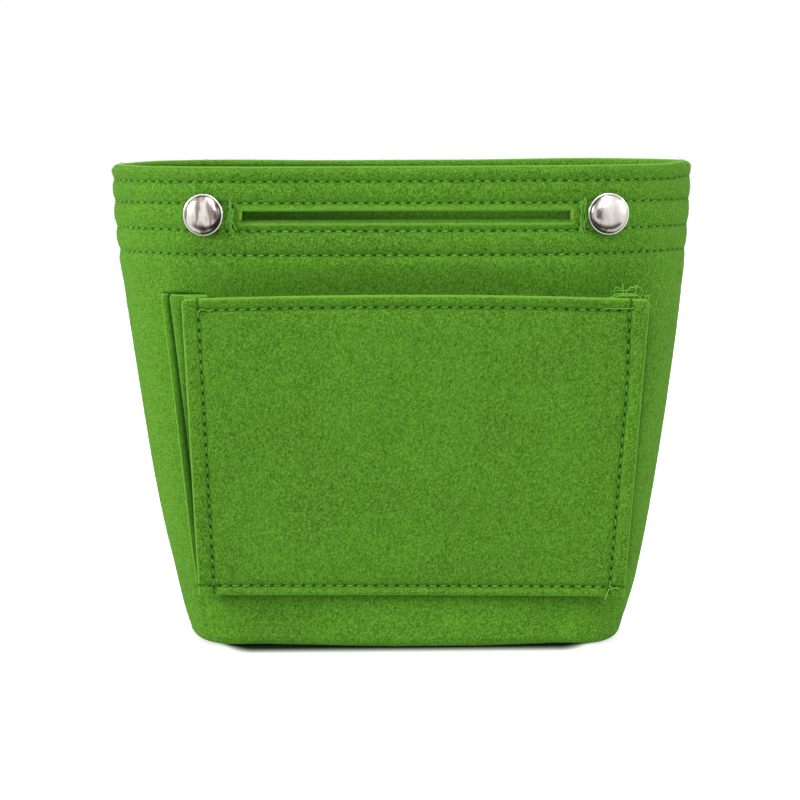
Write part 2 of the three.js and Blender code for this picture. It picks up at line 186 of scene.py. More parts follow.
class NodeSheet:
    """A node tree that is written as calls and expressions."""

    def __init__(self, tree: bpy.types.NodeTree) -> None:
        """Keep the tree."""
        self.tree = tree

    def feed(self, node: bpy.types.Node, inputs: dict) -> None:
        """Set or link inputs of a node.

        Args:
            node: the node.
            inputs: values, sockets or nodes, by the sockets' names or numbers. A node gives its first output.
        """
        for key, given in inputs.items():
            given = given.socket if isinstance(given, Value) else given
            given = given.outputs[0] if isinstance(given, bpy.types.Node) else given
            socket = node.inputs[key]
            if isinstance(given, bpy.types.NodeSocket):
                self.tree.links.new(given, socket)
            elif socket.type == "RGBA":
                socket.default_value = (*given[:3], 1.0)
            else:
                socket.default_value = given

    def node(self, kind: str, settings: dict | None = None, inputs: dict | None = None) -> bpy.types.Node:
        """Add a node.

        Args:
            kind: the node's type.
            settings: its own settings.
            inputs: what its inputs are fed.

        Returns:
            The node.
        """
        node = self.tree.nodes.new(kind)
        for key, setting in (settings or {}).items():
            setattr(node, key, setting)
        self.feed(node, inputs or {})
        return node

    def value(
        self, kind: str, settings: dict | None = None, inputs: dict | None = None, output: int | str = 0
    ) -> Value:
        """Add a node and return one of its outputs for arithmetic."""
        return Value(self, self.node(kind, settings, inputs).outputs[output])

    def math(self, operation: str, first: Value | float, second: Value | float | None = None) -> Value:
        """Add one Math node."""
        inputs = {0: first} if second is None else {0: first, 1: second}
        return self.value("ShaderNodeMath", {"operation": operation}, inputs)

    def parts(self, vector: Value | bpy.types.Node) -> list[Value]:
        """Split a vector into its three parts."""
        split = self.node("ShaderNodeSeparateXYZ", None, {0: vector})
        return [Value(self, output) for output in split.outputs]

    def vector(self, **parts: Value | float) -> bpy.types.Node:
        """Join the parts X, Y and Z into a vector."""
        return self.node("ShaderNodeCombineXYZ", None, parts)

    def chance(self, seed: Value | int, low: Value | float, high: Value | float) -> Value:
        """Return a random number between two others for each point."""
        inputs = {"Min": low, "Max": high, "Seed": seed}
        return self.value("FunctionNodeRandomValue", {"data_type": "FLOAT"}, inputs, 1)

    def turned(
        self, rotation: bpy.types.NodeSocket | bpy.types.Node, **angles: Value | float
    ) -> bpy.types.Node:
        """Turn a rotation by angles about its own axes."""
        turn = self.node("FunctionNodeEulerToRotation", None, {0: self.vector(**angles)})
        inputs = {"Rotation": rotation, "Rotate By": turn}
        return self.node("FunctionNodeRotateRotation", {"rotation_space": "LOCAL"}, inputs)

    def rod(
        self, bend: tuple[bpy.types.Node, ...], steps: int, radius: Value, sides: int, capped: bool
    ) -> bpy.types.Node:
        """Sweep a ring along a line that bends once.

        Args:
            bend: the start, the point that the line bends toward, and the end.
            steps: the number of steps along the line.
            radius: the ring's radius.
            sides: the ring's number of sides.
            capped: whether the ends are closed.

        Returns:
            The node that gives the mesh.
        """
        inputs = {"Resolution": steps, "Start": bend[0], "Middle": bend[1], "End": bend[2]}
        line = self.node("GeometryNodeCurveQuadraticBezier", None, inputs)
        ring = self.node("GeometryNodeCurvePrimitiveCircle", None, {"Resolution": sides, "Radius": radius})
        inputs = {"Curve": line, "Profile Curve": ring, "Fill Caps": capped}
        return self.node("GeometryNodeCurveToMesh", None, inputs)

    def mix(self, share: Value | float, first: Value | tuple, second: Value | tuple) -> Value:
        """Mix two colours."""
        settings = {"data_type": "RGBA", "blend_type": "MIX", "clamp_factor": True}
        return self.value("ShaderNodeMix", settings, {0: share, 6: first, 7: second}, 2)

    def noise(
        self, place: Value, scale: float, seed: float, detail: float = 0.0, distortion: float = 0.0
    ) -> Value:
        """Return noise of a scale per metre."""
        settings = {"noise_dimensions": "4D"}
        inputs = {"Vector": place, "W": seed, "Scale": scale, "Detail": detail, "Distortion": distortion}
        return self.value("ShaderNodeTexNoise", settings, inputs)


def blank_sheet(owner: bpy.types.Material | bpy.types.World) -> NodeSheet:
    """Return the emptied node sheet of a material or a world."""
    owner.use_nodes = True
    owner.node_tree.nodes.clear()
    return NodeSheet(owner.node_tree)


def new_material(name: str) -> tuple[bpy.types.Material, NodeSheet, bpy.types.Node]:
    """Start a material.

    Args:
        name: the material's name.

    Returns:
        The material, its node sheet and its surface shader.
    """
    material = bpy.data.materials.new(name)
    sheet = blank_sheet(material)
    shader = sheet.node("ShaderNodeBsdfPrincipled")
    sheet.node("ShaderNodeOutputMaterial", None, {"Surface": shader})
    return material, sheet, shader


def object_place(sheet: NodeSheet, stretch: Point = (1, 1, 1)) -> Value:
    """Return the place on the object, stretched along its axes."""
    place = sheet.value("ShaderNodeTexCoord", None, None, "Object")
    return sheet.value("ShaderNodeMapping", None, {"Vector": place, "Scale": stretch})


@dataclass(frozen=True)
class FeltFinish:
    """Needled polyester felt with short fibres lying every way, stitch holes along its seams, painted shade in
    grooves, holes and recesses and painted highlights on cut edges.
    """

    name: str = "green_felt"
    colour: Colour = (0.064, 0.230, 0.0090)
    fibre: Colour = (0.215, 0.52, 0.050)
    # shade: a darker green for random tone and fibre pits, and for the painted shade along seam grooves.
    shade: Colour = (0.016, 0.092, 0.002)
    deep_shade: Colour = (0.008, 0.05, 0.001)
    # The colour of the painted shade inside the stitch holes.
    hole_shade_colour: Colour = (0.005, 0.050, 0.0005)
    lining_shade: Colour = (0.003, 0.07, 0.0005)
    lit_level: float = -1.0
    lit_blur: float = 0.0009
    cloud_share: float = 0.42
    grain_share: float = 0.15
    pit_share: float = 0.95
    fleck_share: float = 0.84
    hole_share: float = 0.86
    # groove_share and groove_width set the painted shade along the groove of each seam.
    groove_share: float = 0.34
    groove_width: float = 0.9
    # edge_share: the strength of the painted highlight along cut edges.
    edge_share: float = 0.42
    hole_half_length: float = 0.64
    hole_half_width: float = 0.37
    grain_scale: float = 1700
    pit_scale: float = 2350
    fleck_size: Point = (1 / 900, 1 / 4500, 1 / 4500)
    fleck_lays: tuple[Point, ...] = ((-0.8, 0.3, 1.0), (-1.25, -0.4, 0.75), (0.6, 0.5, 0.55))
    pitch: float = STITCH_PITCH
    seed: float = 1.0

    def flecks(self, sheet: NodeSheet) -> tuple[Value, Value]:
        """Draw short fibres, most of them rising to the right.

        Args:
            sheet: the node sheet.

        Returns:
            The light fibres and the small dark pits between them.
        """
        place = sheet.value("ShaderNodeTexCoord", None, None, "Object")
        light: Value | float = 0.0
        for i, (turn, tip, share) in enumerate(self.fleck_lays):
            laid = sheet.value("ShaderNodeMapping", {"vector_type": "TEXTURE"}, {
                "Vector": place, "Rotation": (tip, turn, 0.4 * tip), "Scale": self.fleck_size})
            noise = sheet.noise(laid, 1.0, self.seed + 3.7 * i, 0.0, 0.3)
            light = sheet.math("MAXIMUM", light, noise.rise(0.55, 0.66) * share)
        dark = sheet.noise(place, self.pit_scale, self.seed + 9, 0.0, 0.4).rise(0.45, 0.28)
        return light, dark

    def holes(self, sheet: NodeSheet) -> tuple[Value, Value]:
        """Read the seam map and return the stitch holes and the line between them.

        Args:
            sheet: the node sheet.

        Returns:
            The share of hole and the share of groove, each from 0 to 1.
        """
        along, off_row, _ = sheet.parts(sheet.node("ShaderNodeUVMap", {"uv_map": "Seam"}))
        across = abs(off_row)
        turn = sheet.math("FRACT", along + 0.5) - 0.5
        near = turn * turn * (self.pitch / self.hole_half_length) ** 2
        near = near + across * across * (1 / self.hole_half_width) ** 2
        return near.rise(1.5, 0.3), across.rise(self.groove_width, 0.15)

    def build(self) -> bpy.types.Material:
        """Make the material."""
        material, sheet, shader = new_material(self.name)
        place = object_place(sheet)
        cloud = sheet.noise(place, 45, self.seed, 3.0)
        grain = sheet.noise(place, self.grain_scale, self.seed + 1, 1.0)
        light, dark = self.flecks(sheet)
        hole, groove = self.holes(sheet)
        # The Cut map holds the distance to a cut edge, where a painted highlight goes, and a depth of painted
        # shade.
        from_cut, depth, _ = sheet.parts(sheet.node("ShaderNodeUVMap", {"uv_map": "Cut"}))
        # Painted highlight along cut edges and the rim's top, in the fibres' lighter colour.
        edge_highlight = from_cut.rise(0.95, 0.1) * (grain * 0.5 + self.edge_share)
        colour = sheet.mix(cloud.rise(0.3, 0.7) * self.cloud_share, self.colour, self.shade)
        colour = sheet.mix(grain.rise(0.35, 0.75) * self.grain_share, colour, self.fibre)
        colour = sheet.mix(dark * self.pit_share, colour, self.shade)
        colour = sheet.mix(light * self.fleck_share, colour, self.fibre)
        colour = sheet.mix(edge_highlight, colour, self.fibre)
        colour = sheet.mix(depth, colour, self.deep_shade)
        # Painted shade along each seam's groove.
        colour = sheet.mix(groove * self.groove_share, colour, self.shade)
        # Painted shade in the stitch holes.
        colour = sheet.mix(hole * self.hole_share, colour, self.hole_shade_colour)
        # The lining is painted darker below the rim as shade inside the body, with less of that painted shade
        # toward the right.
        if self.lit_level > 0:
            across, _, level = sheet.parts(place)
            inside = level.rise(self.lit_level + self.lit_blur, self.lit_level - self.lit_blur)
            colour = sheet.mix(inside * (across.rise(0.03, -0.035) * 0.45 + 0.2), colour, self.lining_shade)
        height = grain * 0.3 + light * 0.4 - dark * 0.4 - hole * 1.6 - groove * 0.4
        bump = sheet.value("ShaderNodeBump", None, {"Strength": 0.5, "Distance": 0.00022, "Height": height})
        sheet.feed(shader, {
            "Roughness": 0.96, "Specular IOR Level": 0.1, "Sheen Weight": 0.26, "Sheen Roughness": 0.5,
            "Sheen Tint": (0.5, 0.85, 0.22), "Base Color": colour, "Normal": bump})
        return material


@dataclass(frozen=True)
class ThreadFinish:
    """Twisted polyester thread, a loose felt fibre, or the painted shade of needle prick holes."""

    name: str
    colour: Colour
    dark: Colour
    roughness: float = 0.6
    sheen: float = 0.3
    ply_scale: float = 1700
    patch_scale: float = 160

    def build(self) -> bpy.types.Material:
        """Make the material."""
        material, sheet, shader = new_material(self.name)
        place = object_place(sheet)
        ply = sheet.noise(place, self.ply_scale, 2.0, 1.0, 0.4)
        patch = sheet.noise(place, self.patch_scale, 5.0, 1.0)
        colour = sheet.mix(ply.rise(0.62, 0.36) * 0.6, self.colour, self.dark)
        colour = sheet.mix(patch.rise(0.6, 0.35) * 0.35, colour, self.dark)
        bump = sheet.value("ShaderNodeBump", None, {"Strength": 0.4, "Distance": 0.0001, "Height": ply})
        sheet.feed(shader, {
            "Specular IOR Level": 0.35, "Sheen Weight": self.sheen, "Base Color": colour,
            "Roughness": patch * 0.2 + (self.roughness - 0.1), "Normal": bump})
        return material


@dataclass(frozen=True)
class NickelFinish:
    """Bright nickel plate with faint upright brushing, and painted reflections: streaks, a dark side, a dark
    line inside the rim and a highlight on the rolled rim.
    """

    name: str
    colour: Colour = (0.84, 0.80, 0.74)
    reflection_streak_colour: Colour = (0.42, 0.37, 0.33)
    # dark: the painted dark reflection and the painted dark line inside the rim.
    dark: Colour = (0.060, 0.042, 0.036)
    # The painted highlight on the rolled rim.
    rim: Colour = (0.93, 0.91, 0.89)
    reflection_streak_share: float = 0.35
    lit_place: Ends = (0.22, 0.12)
    lit_radius: float = 0.94
    streak_scale: float = 300
    mark_scale: float = 1500
    seed: float = 3.0

    def build(self) -> bpy.types.Material:
        """Make the material."""
        material, sheet, shader = new_material(self.name)
        across, up, _ = sheet.parts(sheet.node("ShaderNodeUVMap", {"uv_map": "Disc"}))
        streak = sheet.noise(object_place(sheet, (1, 1, 0.28)), self.streak_scale, self.seed, 2.0, 0.8)
        mark = sheet.noise(object_place(sheet), self.mark_scale, self.seed + 2, 2.0)
        from_middle = sheet.math("SQRT", across * across + up * up)
        beside, above = across - self.lit_place[0], up - self.lit_place[1]
        from_light = sheet.math("SQRT", beside * beside + above * above) + streak * 0.5 - 0.25
        dark_reflection = from_light.rise(self.lit_radius - 0.10, self.lit_radius + 0.16)
        rim = from_middle.rise(0.925, 0.945)
        # A painted dark line just inside the rolled rim.
        line = sheet.math("MINIMUM", from_middle.rise(0.875, 0.90), from_middle.rise(0.935, 0.92))
        # Painted streaked reflections.
        colour = sheet.mix(streak.rise(0.42, 0.60) * self.reflection_streak_share, self.colour, self.reflection_streak_colour)
        # A painted dark reflection on the side away from lit_place.
        colour = sheet.mix(dark_reflection * 0.9, colour, self.dark)
        colour = sheet.mix(line * 0.7, colour, self.dark)
        # A painted highlight on the rolled rim.
        colour = sheet.mix(rim, colour, self.rim)
        rough = 0.16 + streak * 0.12 + mark.rise(0.55, 0.75) * 0.06
        height = mark * 0.2 + streak
        bump = sheet.value("ShaderNodeBump", None, {"Strength": 0.12, "Distance": 0.0003, "Height": height})
        sheet.feed(shader, {"Metallic": 1.0, "Base Color": colour, "Roughness": rough, "Normal": bump})
        return material


@dataclass
class Finishes:
    """The materials that the pieces share."""

    felt: bpy.types.Material
    lining: bpy.types.Material
    pleat: bpy.types.Material
    thread: bpy.types.Material
    loose_thread: bpy.types.Material
    prick_shade: bpy.types.Material
    fibre: bpy.types.Material
    nickel: bpy.types.Material
    nickel_streaked_reflection: bpy.types.Material

    @classmethod
    def make(cls) -> "Finishes":
        """Make every material once."""
        thread = ThreadFinish("green_thread", (0.24, 0.64, 0.072), (0.06, 0.22, 0.012), sheen=0.0)
        fibre = ThreadFinish("loose_fibre", (0.16, 0.40, 0.045), (0.085, 0.26, 0.02), 0.85, 0.2)
        # The lining felt carries painted shade below the rim.
        lining = FeltFinish("green_felt_lining", lit_level=0.1708)
        # The gussets' felt has a wider, deeper painted shade along its seam groove and a stronger painted
        # highlight on its edges.
        pleat = FeltFinish("green_felt_pleat", groove_share=0.9, groove_width=1.7, edge_share=0.75)
        # The left front cap's plate, with darker painted streaked reflections and its painted dark reflection
        # on the other side.
        streaked_reflection = NickelFinish("nickel_plate_streaked_reflection", reflection_streak_colour=(0.27, 0.205, 0.18), reflection_streak_share=0.95,
                            lit_place=(-0.20, 0.10), lit_radius=0.90, seed=11.0)
        prick_shade = ThreadFinish("green_felt_prick_shade", (0.012, 0.075, 0.002), (0.006, 0.04, 0.001), 0.95, 0.0)
        loose = ThreadFinish("green_thread_loose", (0.24, 0.62, 0.070), (0.10, 0.32, 0.020), sheen=0.0)
        nickel = NickelFinish("nickel_plate")
        finishes = (FeltFinish(), lining, pleat, thread, loose, prick_shade, fibre, nickel, streaked_reflection)
        return cls(*(finish.build() for finish in finishes))


def in_scene(name: str, data: bpy.types.ID) -> bpy.types.Object:
    """Put a new object in the scene, at the origin."""
    made = bpy.data.objects.new(name, data)
    bpy.context.scene.collection.objects.link(made)
    return made


def evaluated_mesh(holder: bpy.types.Object) -> bpy.types.Mesh:
    """Return the mesh that an object's curves or modifiers come to."""
    bpy.context.view_layer.update()
    evaluated = holder.evaluated_get(bpy.context.evaluated_depsgraph_get())
    return bpy.data.meshes.new_from_object(evaluated)


def merge_doubles(mesh: bpy.types.Mesh) -> None:
    """Join the vertices of a mesh that lie in one place."""
    work = bmesh.new()
    work.from_mesh(mesh)
    bmesh.ops.remove_doubles(work, verts=work.verts, dist=MERGE_DISTANCE)
    work.to_mesh(mesh)
    work.free()


def mesh_object(
    name: str,
    points: Array,
    faces: Array,
    material: bpy.types.Material,
    seam: Array,
    cut: Array,
) -> bpy.types.Object:
    """Make an object from points in millimetres and four-sided faces.

    Args:
        name: the piece's name.
        points: the vertices.
        faces: rows of four vertex numbers.
        material: its finish.
        seam: the seam map's value at each vertex, a place along the nearest seam and a distance to it.
        cut: the cut map's value at each vertex, a distance to the nearest cut edge, where the finish paints a
            highlight, and a depth of painted shade.

    Returns:
        The object, at the origin.
    """
    mesh = bpy.data.meshes.new(name)
    mesh.vertices.add(len(points))
    mesh.vertices.foreach_set("co", (np.asarray(points) * MM).astype(np.float32).ravel())
    mesh.loops.add(faces.size)
    mesh.loops.foreach_set("vertex_index", faces.astype(np.int32).ravel())
    mesh.polygons.add(len(faces))
    mesh.polygons.foreach_set("loop_start", np.arange(0, faces.size, 4, dtype=np.int32))
    mesh.update(calc_edges=True)
    for name_of_map, values in (("Seam", seam), ("Cut", cut)):
        layer = mesh.uv_layers.new(name=name_of_map)
        layer.data.foreach_set("uv", values[faces.ravel()].astype(np.float32).ravel())
    mesh.validate()
    mesh.shade_smooth()
    mesh.set_sharp_from_angle(angle=SHARP_ANGLE)
    mesh.materials.append(material)
    return in_scene(name, mesh)


@dataclass
class Sheet:
    """A felt sheet as two grids of points, an outer face and an inner one, with places left out."""

    outer: Array
    inner: Array
    seam: Array
    keep: Array | None = None
    closed: bool = False
    cut: Array | float = FAR_FROM_SEAM
    shade: Array | float = 0.0

    def cells(self) -> Array:
        """Return which cells of the grid have felt."""
        rows, columns = self.outer.shape[:2]
        shape = (rows - 1, columns if self.closed else columns - 1)
        return np.ones(shape, bool) if self.keep is None else self.keep

    def neighbour(self, cells: Array, axis: int, step: int) -> Array:
        """Return which cells have a neighbour with felt, a step along an axis.

        Args:
            cells: the cells that have felt.
            axis: 0 for up, 1 for along.
            step: 1 or -1.

        Returns:
            The cells whose neighbour has felt.
        """
        moved = np.roll(cells, -step, axis)
        if axis == 1 and self.closed:
            return moved
        edge = [slice(None), slice(None)]
        edge[axis] = -1 if step > 0 else 0
        moved[tuple(edge)] = False
        return moved

    def build(self, name: str, material: bpy.types.Material) -> bpy.types.Object:
        """Make the piece, with its edges closed.

        Args:
            name: the piece's name.
            material: its finish.

        Returns:
            The object.
        """
        rows, columns = self.outer.shape[:2]
        number = np.arange(rows * columns).reshape(rows, columns)
        if self.closed:
            number = np.concatenate([number, number[:, :1]], 1)
        cells = self.cells()
        corners = [number[:-1, :-1], number[:-1, 1:], number[1:, 1:], number[1:, :-1]]
        flat = self.outer.reshape(-1, 3)
        first = flat[corners[1]] - flat[corners[0]]
        second = flat[corners[3]] - flat[corners[0]]
        apart = (self.outer - self.inner).reshape(-1, 3)[corners[0]]
        if (np.cross(first, second) * apart).sum(-1)[cells].sum() < 0:
            corners = corners[::-1]
            sides = [(0, 1), (1, 1), (0, -1), (1, -1)]
        else:
            sides = [(0, -1), (1, 1), (0, 1), (1, -1)]
        below = rows * columns
        faces = [np.stack([c[cells] for c in corners], -1)]
        faces.append(np.stack([c[cells] + below for c in corners[::-1]], -1))
        for k, (axis, step) in enumerate(sides):
            open_side = cells & ~self.neighbour(cells, axis, step)
            a, b = corners[k][open_side], corners[(k + 1) % 4][open_side]
            faces.append(np.stack([b, a, a + below, b + below], -1))
        points = np.concatenate([flat, self.inner.reshape(-1, 3)])
        used = np.unique(np.concatenate(faces))
        renumber = np.full(len(points), -1)
        renumber[used] = np.arange(len(used))
        plain = np.tile([0.0, FAR_FROM_SEAM], (below, 1))
        seam = np.concatenate([self.seam.reshape(-1, 2), plain])[used]
        edge = np.broadcast_to(self.cut, (rows, columns)).ravel()
        shade = np.broadcast_to(self.shade, (rows, columns)).ravel()
        cut = np.tile(np.stack([edge, shade], -1), (2, 1))[used]
        return mesh_object(name, points[used], renumber[np.concatenate(faces)], material, seam, cut)


@dataclass(frozen=True)
class Plan:
    """The body's oval plan, which changes with height, and what the solids hold true to."""

    height: float = 172.0
    base_half_width: float = 78.8
    rim_half_width: float = 106.3
    side_swell: float = 14.8
    base_half_depth: float = 41.5
    rim_half_depth: float = 43.0
    base_corner_along: float = 19.0
    rim_corner_along: float = 50.0
    base_corner_deep: float = 19.0
    rim_side_flat: float = 2.5
    front_bow: float = 1.6
    seam_half_gap: float = 0.03
    front_share: float = 0.4
    corner_share: float = 0.92
    spread_levels: tuple[float, ...] = (
        0, 5, 12, 20, 28, 35, 43, 57, 72, 93, 107, 122, 130, 137, 150, 160, 172)
    spread_left: tuple[float, ...] = (
        -0.8, -1.0, -0.6, -0.2, 0, 0.25, 0.2, 0.1, 0, 0, 0, 0.1, 0.15, 0.2, 0.6, 0.4, 0)
    spread_right: tuple[float, ...] = (
        0.8, 0.6, 1.0, 1.3, 1.5, 1.6, 1.5, 1.2, 0.8, 0.7, 0.8, 0.6, 0.2, -0.5, -0.5, -0.1, 0)

    def half_width(self, z: Array) -> Array:
        """Return the plan's half width at a height."""
        share = z / self.height
        straight = blend_between(self.base_half_width, self.rim_half_width, share)
        return straight + self.side_swell * share * (1 - share)

    def half_depth(self, z: Array) -> Array:
        """Return the plan's half depth at a height."""
        return blend_between(self.base_half_depth, self.rim_half_depth, z / self.height)

    def spread(self, z: Array, turn: Array) -> Array:
        """Return how far each side of the hand-made body stands out beyond the plan, or in.

        Args:
            z: heights.
            turn: turns, from -1 at the left seam to 1 at the right one.

        Returns:
            The distances.
        """
        left = np.interp(z, self.spread_levels, self.spread_left)
        return np.where(turn < 0, left, np.interp(z, self.spread_levels, self.spread_right))

    def point(self, z: Array, turn: Array) -> Array:
        """Return the front half's x and y at a turn, from -1 at the left seam to 1 at the right one.

        Args:
            z: heights.
            turn: turns, from -1 at the left seam to 1 at the right one.

        Returns:
            The places, on the last axis.
        """
        z, turn = np.broadcast_arrays(np.asarray(z, float), np.asarray(turn, float))
        share = z / self.height
        half_width, half_depth = self.half_width(z), self.half_depth(z)
        along = blend_between(self.base_corner_along, self.rim_corner_along, share)
        deep = blend_between(self.base_corner_deep, self.rim_half_depth - self.rim_side_flat, share)
        straight = half_width - along
        away = np.abs(turn)
        angle = np.clip((away - self.front_share) / (self.corner_share - self.front_share), 0, 1) * np.pi / 2
        x = straight * np.minimum(away / self.front_share, 1) + along * np.sin(angle)
        x = x + self.spread(z, turn) * smooth_step(0.72, 1.0, x / half_width)
        y = half_depth - deep * (1 - np.cos(angle))
        side = np.clip((away - self.corner_share) / (1 - self.corner_share), 0, 1)
        y = blend_between(y, self.seam_half_gap, side)
        bow = (self.front_bow / half_depth) * (x / half_width) ** 2
        return np.stack([np.sign(turn) * x, -y * (1 - bow)], -1)

    def offset(self, z: Array, turn: Array, out: Array) -> Array:
        """Return points at a distance outside the plan, square to it.

        Args:
            z: heights.
            turn: turns, from -1 at the left seam to 1 at the right one.
            out: distances outside the plan.

        Returns:
            The points, on the last axis.
        """
        z, turn, out = np.broadcast_arrays(*(np.asarray(value, float) for value in (z, turn, out)))
        step = 1e-4
        along = self.point(z, np.minimum(turn + step, 1)) - self.point(z, np.maximum(turn - step, -1))
        along = unit(along)
        place = self.point(z, turn)
        return np.stack([place[..., 0] + along[..., 1] * out, place[..., 1] - along[..., 0] * out, z], -1)

    def outward(self, z: Array, turn: Array) -> Array:
        """Return the direction square to the plan."""
        return unit(self.offset(z, turn, 1.0) - self.offset(z, turn, 0.0))

    def turn_at(self, z: Array, x: Array) -> Array:
        """Return the turn at which the plan reaches a given x.

        Args:
            z: heights.
            x: places along the front.

        Returns:
            The turns, found by halving.
        """
        z, x = np.broadcast_arrays(np.asarray(z, float), np.asarray(x, float))
        low, high = np.zeros(x.shape), np.full(x.shape, self.corner_share)
        for _ in range(40):
            middle = (low + high) / 2
            short = self.point(z, middle)[..., 0] < np.abs(x)
            low, high = np.where(short, middle, low), np.where(short, high, middle)
        return np.sign(x) * low


@dataclass(frozen=True)
class Ruler:
    """Lengths along the front half at the middle of the band."""

    plan: Plan
    level: float = 155.0

    def table(self) -> tuple[Array, Array]:
        """Return turns and the lengths from the middle of the front to them."""
        turns = np.linspace(0, 1, 4001)
        steps = np.diff(self.plan.point(self.level, turns), axis=0)
        return turns, np.concatenate([[0], np.cumsum(np.linalg.norm(steps, axis=1))])

    def turns(self, lengths: Array) -> Array:
        """Return the turns at signed lengths."""
        turns, sums = self.table()
        return np.sign(lengths) * np.interp(np.abs(lengths), sums, turns)

    def lengths(self, turns: Array) -> Array:
        """Return the signed lengths at turns."""
        known, sums = self.table()
        return np.sign(turns) * np.interp(np.abs(turns), known, sums)

    def reach(self) -> float:
        """Return the length from the middle of the front to a side seam."""
        return float(self.table()[1][-1])


class Half(Enum):
    """The two halves of the body."""

    FRONT = "front"
    BACK = "back"


class Side(Enum):
    """The two sides, by the sign of x."""

    LEFT = -1
    RIGHT = 1

    @property
    def label(self) -> str:
        """Return the side's word in piece names."""
        return self.name.lower()


def new_growth(name: str, numbers: tuple[str, ...]) -> tuple[NodeSheet, dict[str, Value]]:
    """Start a geometry node tree that takes a mesh, some numbers, a seed and a finish.

    Args:
        name: the tree's name.
        numbers: the names of the numbers.

    Returns:
        The node sheet, and the tree's inputs by name.
    """
    tree = bpy.data.node_groups.new(name, "GeometryNodeTree")
    kinds = {"Geometry": "Geometry", **dict.fromkeys(numbers, "Float"), "Seed": "Int", "Finish": "Material"}
    for label, kind in kinds.items():
        tree.interface.new_socket(label, in_out="INPUT", socket_type=f"NodeSocket{kind}")
    tree.interface.new_socket("Geometry", in_out="OUTPUT", socket_type="NodeSocketGeometry")
    sheet = NodeSheet(tree)
    outputs = sheet.node("NodeGroupInput").outputs
    return sheet, {label: Value(sheet, outputs[label]) for label in kinds}


def end_growth(sheet: NodeSheet, instances: bpy.types.Node, finish: Value) -> bpy.types.NodeTree:
    """Make the instances real, smooth them and give them their finish.

    Args:
        sheet: the node sheet.
        instances: the node that gives the instances.
        finish: the tree's input of the finish.

    Returns:
        The finished tree.
    """
    real = sheet.node("GeometryNodeRealizeInstances", None, {0: instances})
    smooth = sheet.node("GeometryNodeSetShadeSmooth", None, {0: real})
    dressed = sheet.node("GeometryNodeSetMaterial", None, {"Geometry": smooth, "Material": finish})
    sheet.node("NodeGroupOutput", None, {0: dressed})
    return sheet.tree


@dataclass(frozen=True)
class StitchKit:
    """Machine stitches laid along a run by geometry nodes."""

    length: float = 2.4
    radius: float = 0.24
    arch: float = 0.22
    sink: float = 0.7
    slant: float = 0.12
    jitter: float = 0.11
    sunk_length: float = 1.488
    sunk_arch: float = 0.02

    def tree(self) -> bpy.types.NodeTree:
        """Make the node tree: an arched stitch, set on every point of the run and turned to it."""
        sheet, given = new_growth("stitch_run", ("Length", "Radius", "Arch", "Sink", "Slant", "Jitter"))
        down = given["Sink"] * -1.0
        start, end = (sheet.vector(X=given["Length"] * share, Z=down) for share in (-0.5, 0.5))
        middle = sheet.vector(Z=given["Arch"] * 2.0 + given["Sink"])
        stitch = sheet.rod((start, middle, end), 6, given["Radius"], 6, True)
        inputs = {"Points": given["Geometry"], "Instance": stitch, "Rotation": self.facing(sheet, given)}
        stitches = sheet.node("GeometryNodeInstanceOnPoints", None, inputs)
        return end_growth(sheet, stitches, given["Finish"])

    @staticmethod
    def facing(sheet: NodeSheet, given: dict[str, Value]) -> bpy.types.Node:
        """Turn each stitch along its run, away from the felt and slightly askew.

        Args:
            sheet: the node sheet.
            given: the tree's inputs by name.

        Returns:
            The node that gives the rotation.
        """
        settings = {"data_type": "FLOAT_VECTOR"}
        run, away = (sheet.node("GeometryNodeInputNamedAttribute", settings, {"Name": name})
                     for name in ("along", "outward"))
        along = sheet.node("FunctionNodeAlignRotationToVector", {"axis": "X"}, {"Vector": run})
        settings = {"axis": "Z", "pivot_axis": "X"}
        out = sheet.node("FunctionNodeAlignRotationToVector", settings, {"Rotation": along, "Vector": away})
        jitter = sheet.chance(given["Seed"], given["Jitter"] * -1.0, given["Jitter"])
        return sheet.turned(out, Z=given["Slant"] + jitter)


@dataclass(frozen=True)
class FuzzKit:
    """Loose felt fibres strewn over a piece by geometry nodes."""

    length: float = 1.35
    radius: float = 0.05
    per_square_cm: float = 6.0

    def tree(self) -> bpy.types.NodeTree:
        """Make the node tree: curled fibres on random points of a mesh, lying close to it."""
        sheet, given = new_growth("fuzz", ("Length", "Radius", "Density"))
        length = given["Length"]
        start, end = sheet.vector(Z=length * -0.05), sheet.vector(X=length, Z=length * -0.02)
        middle = sheet.vector(X=length * 0.5, Y=length * 0.34, Z=length * 0.16)
        fibre = sheet.rod((start, middle, end), 4, given["Radius"], 3, False)
        strewn = sheet.node("GeometryNodeDistributePointsOnFaces", None, {
            "Mesh": given["Geometry"], "Density": given["Density"], "Seed": given["Seed"]})
        spin = sheet.chance(11, 0.0, 2 * math.pi)
        lift = sheet.math("POWER", sheet.chance(12, 0.0, 1.0), 6.0)
        turned = sheet.turned(strewn.outputs["Rotation"], Y=lift * -0.7, Z=spin)
        fibres = sheet.node("GeometryNodeInstanceOnPoints", None, {
            "Points": strewn, "Instance": fibre, "Rotation": turned, "Scale": sheet.chance(13, 0.45, 1.3)})
        return end_growth(sheet, fibres, given["Finish"])


def grown(base: bpy.types.Object, name: str, tree: bpy.types.NodeTree, inputs: dict) -> bpy.types.Object:
    """Run a node tree on a mesh and keep the result as a plain mesh of its own.

    Args:
        base: the object whose mesh the tree starts from.
        name: the new piece's name.
        tree: the geometry node tree.
        inputs: the tree's inputs by name.

    Returns:
        The new object.
    """
    holder = in_scene(name, base.data)
    modifier = holder.modifiers.new("nodes", "NODES")
    modifier.node_group = tree
    for item in tree.interface.items_tree:
        if item.item_type == "SOCKET" and item.in_out == "INPUT" and item.name in inputs:
            modifier[item.identifier] = inputs[item.name]
    mesh = evaluated_mesh(holder)
    mesh.name = name
    holder.modifiers.clear()
    holder.data = mesh
    return holder


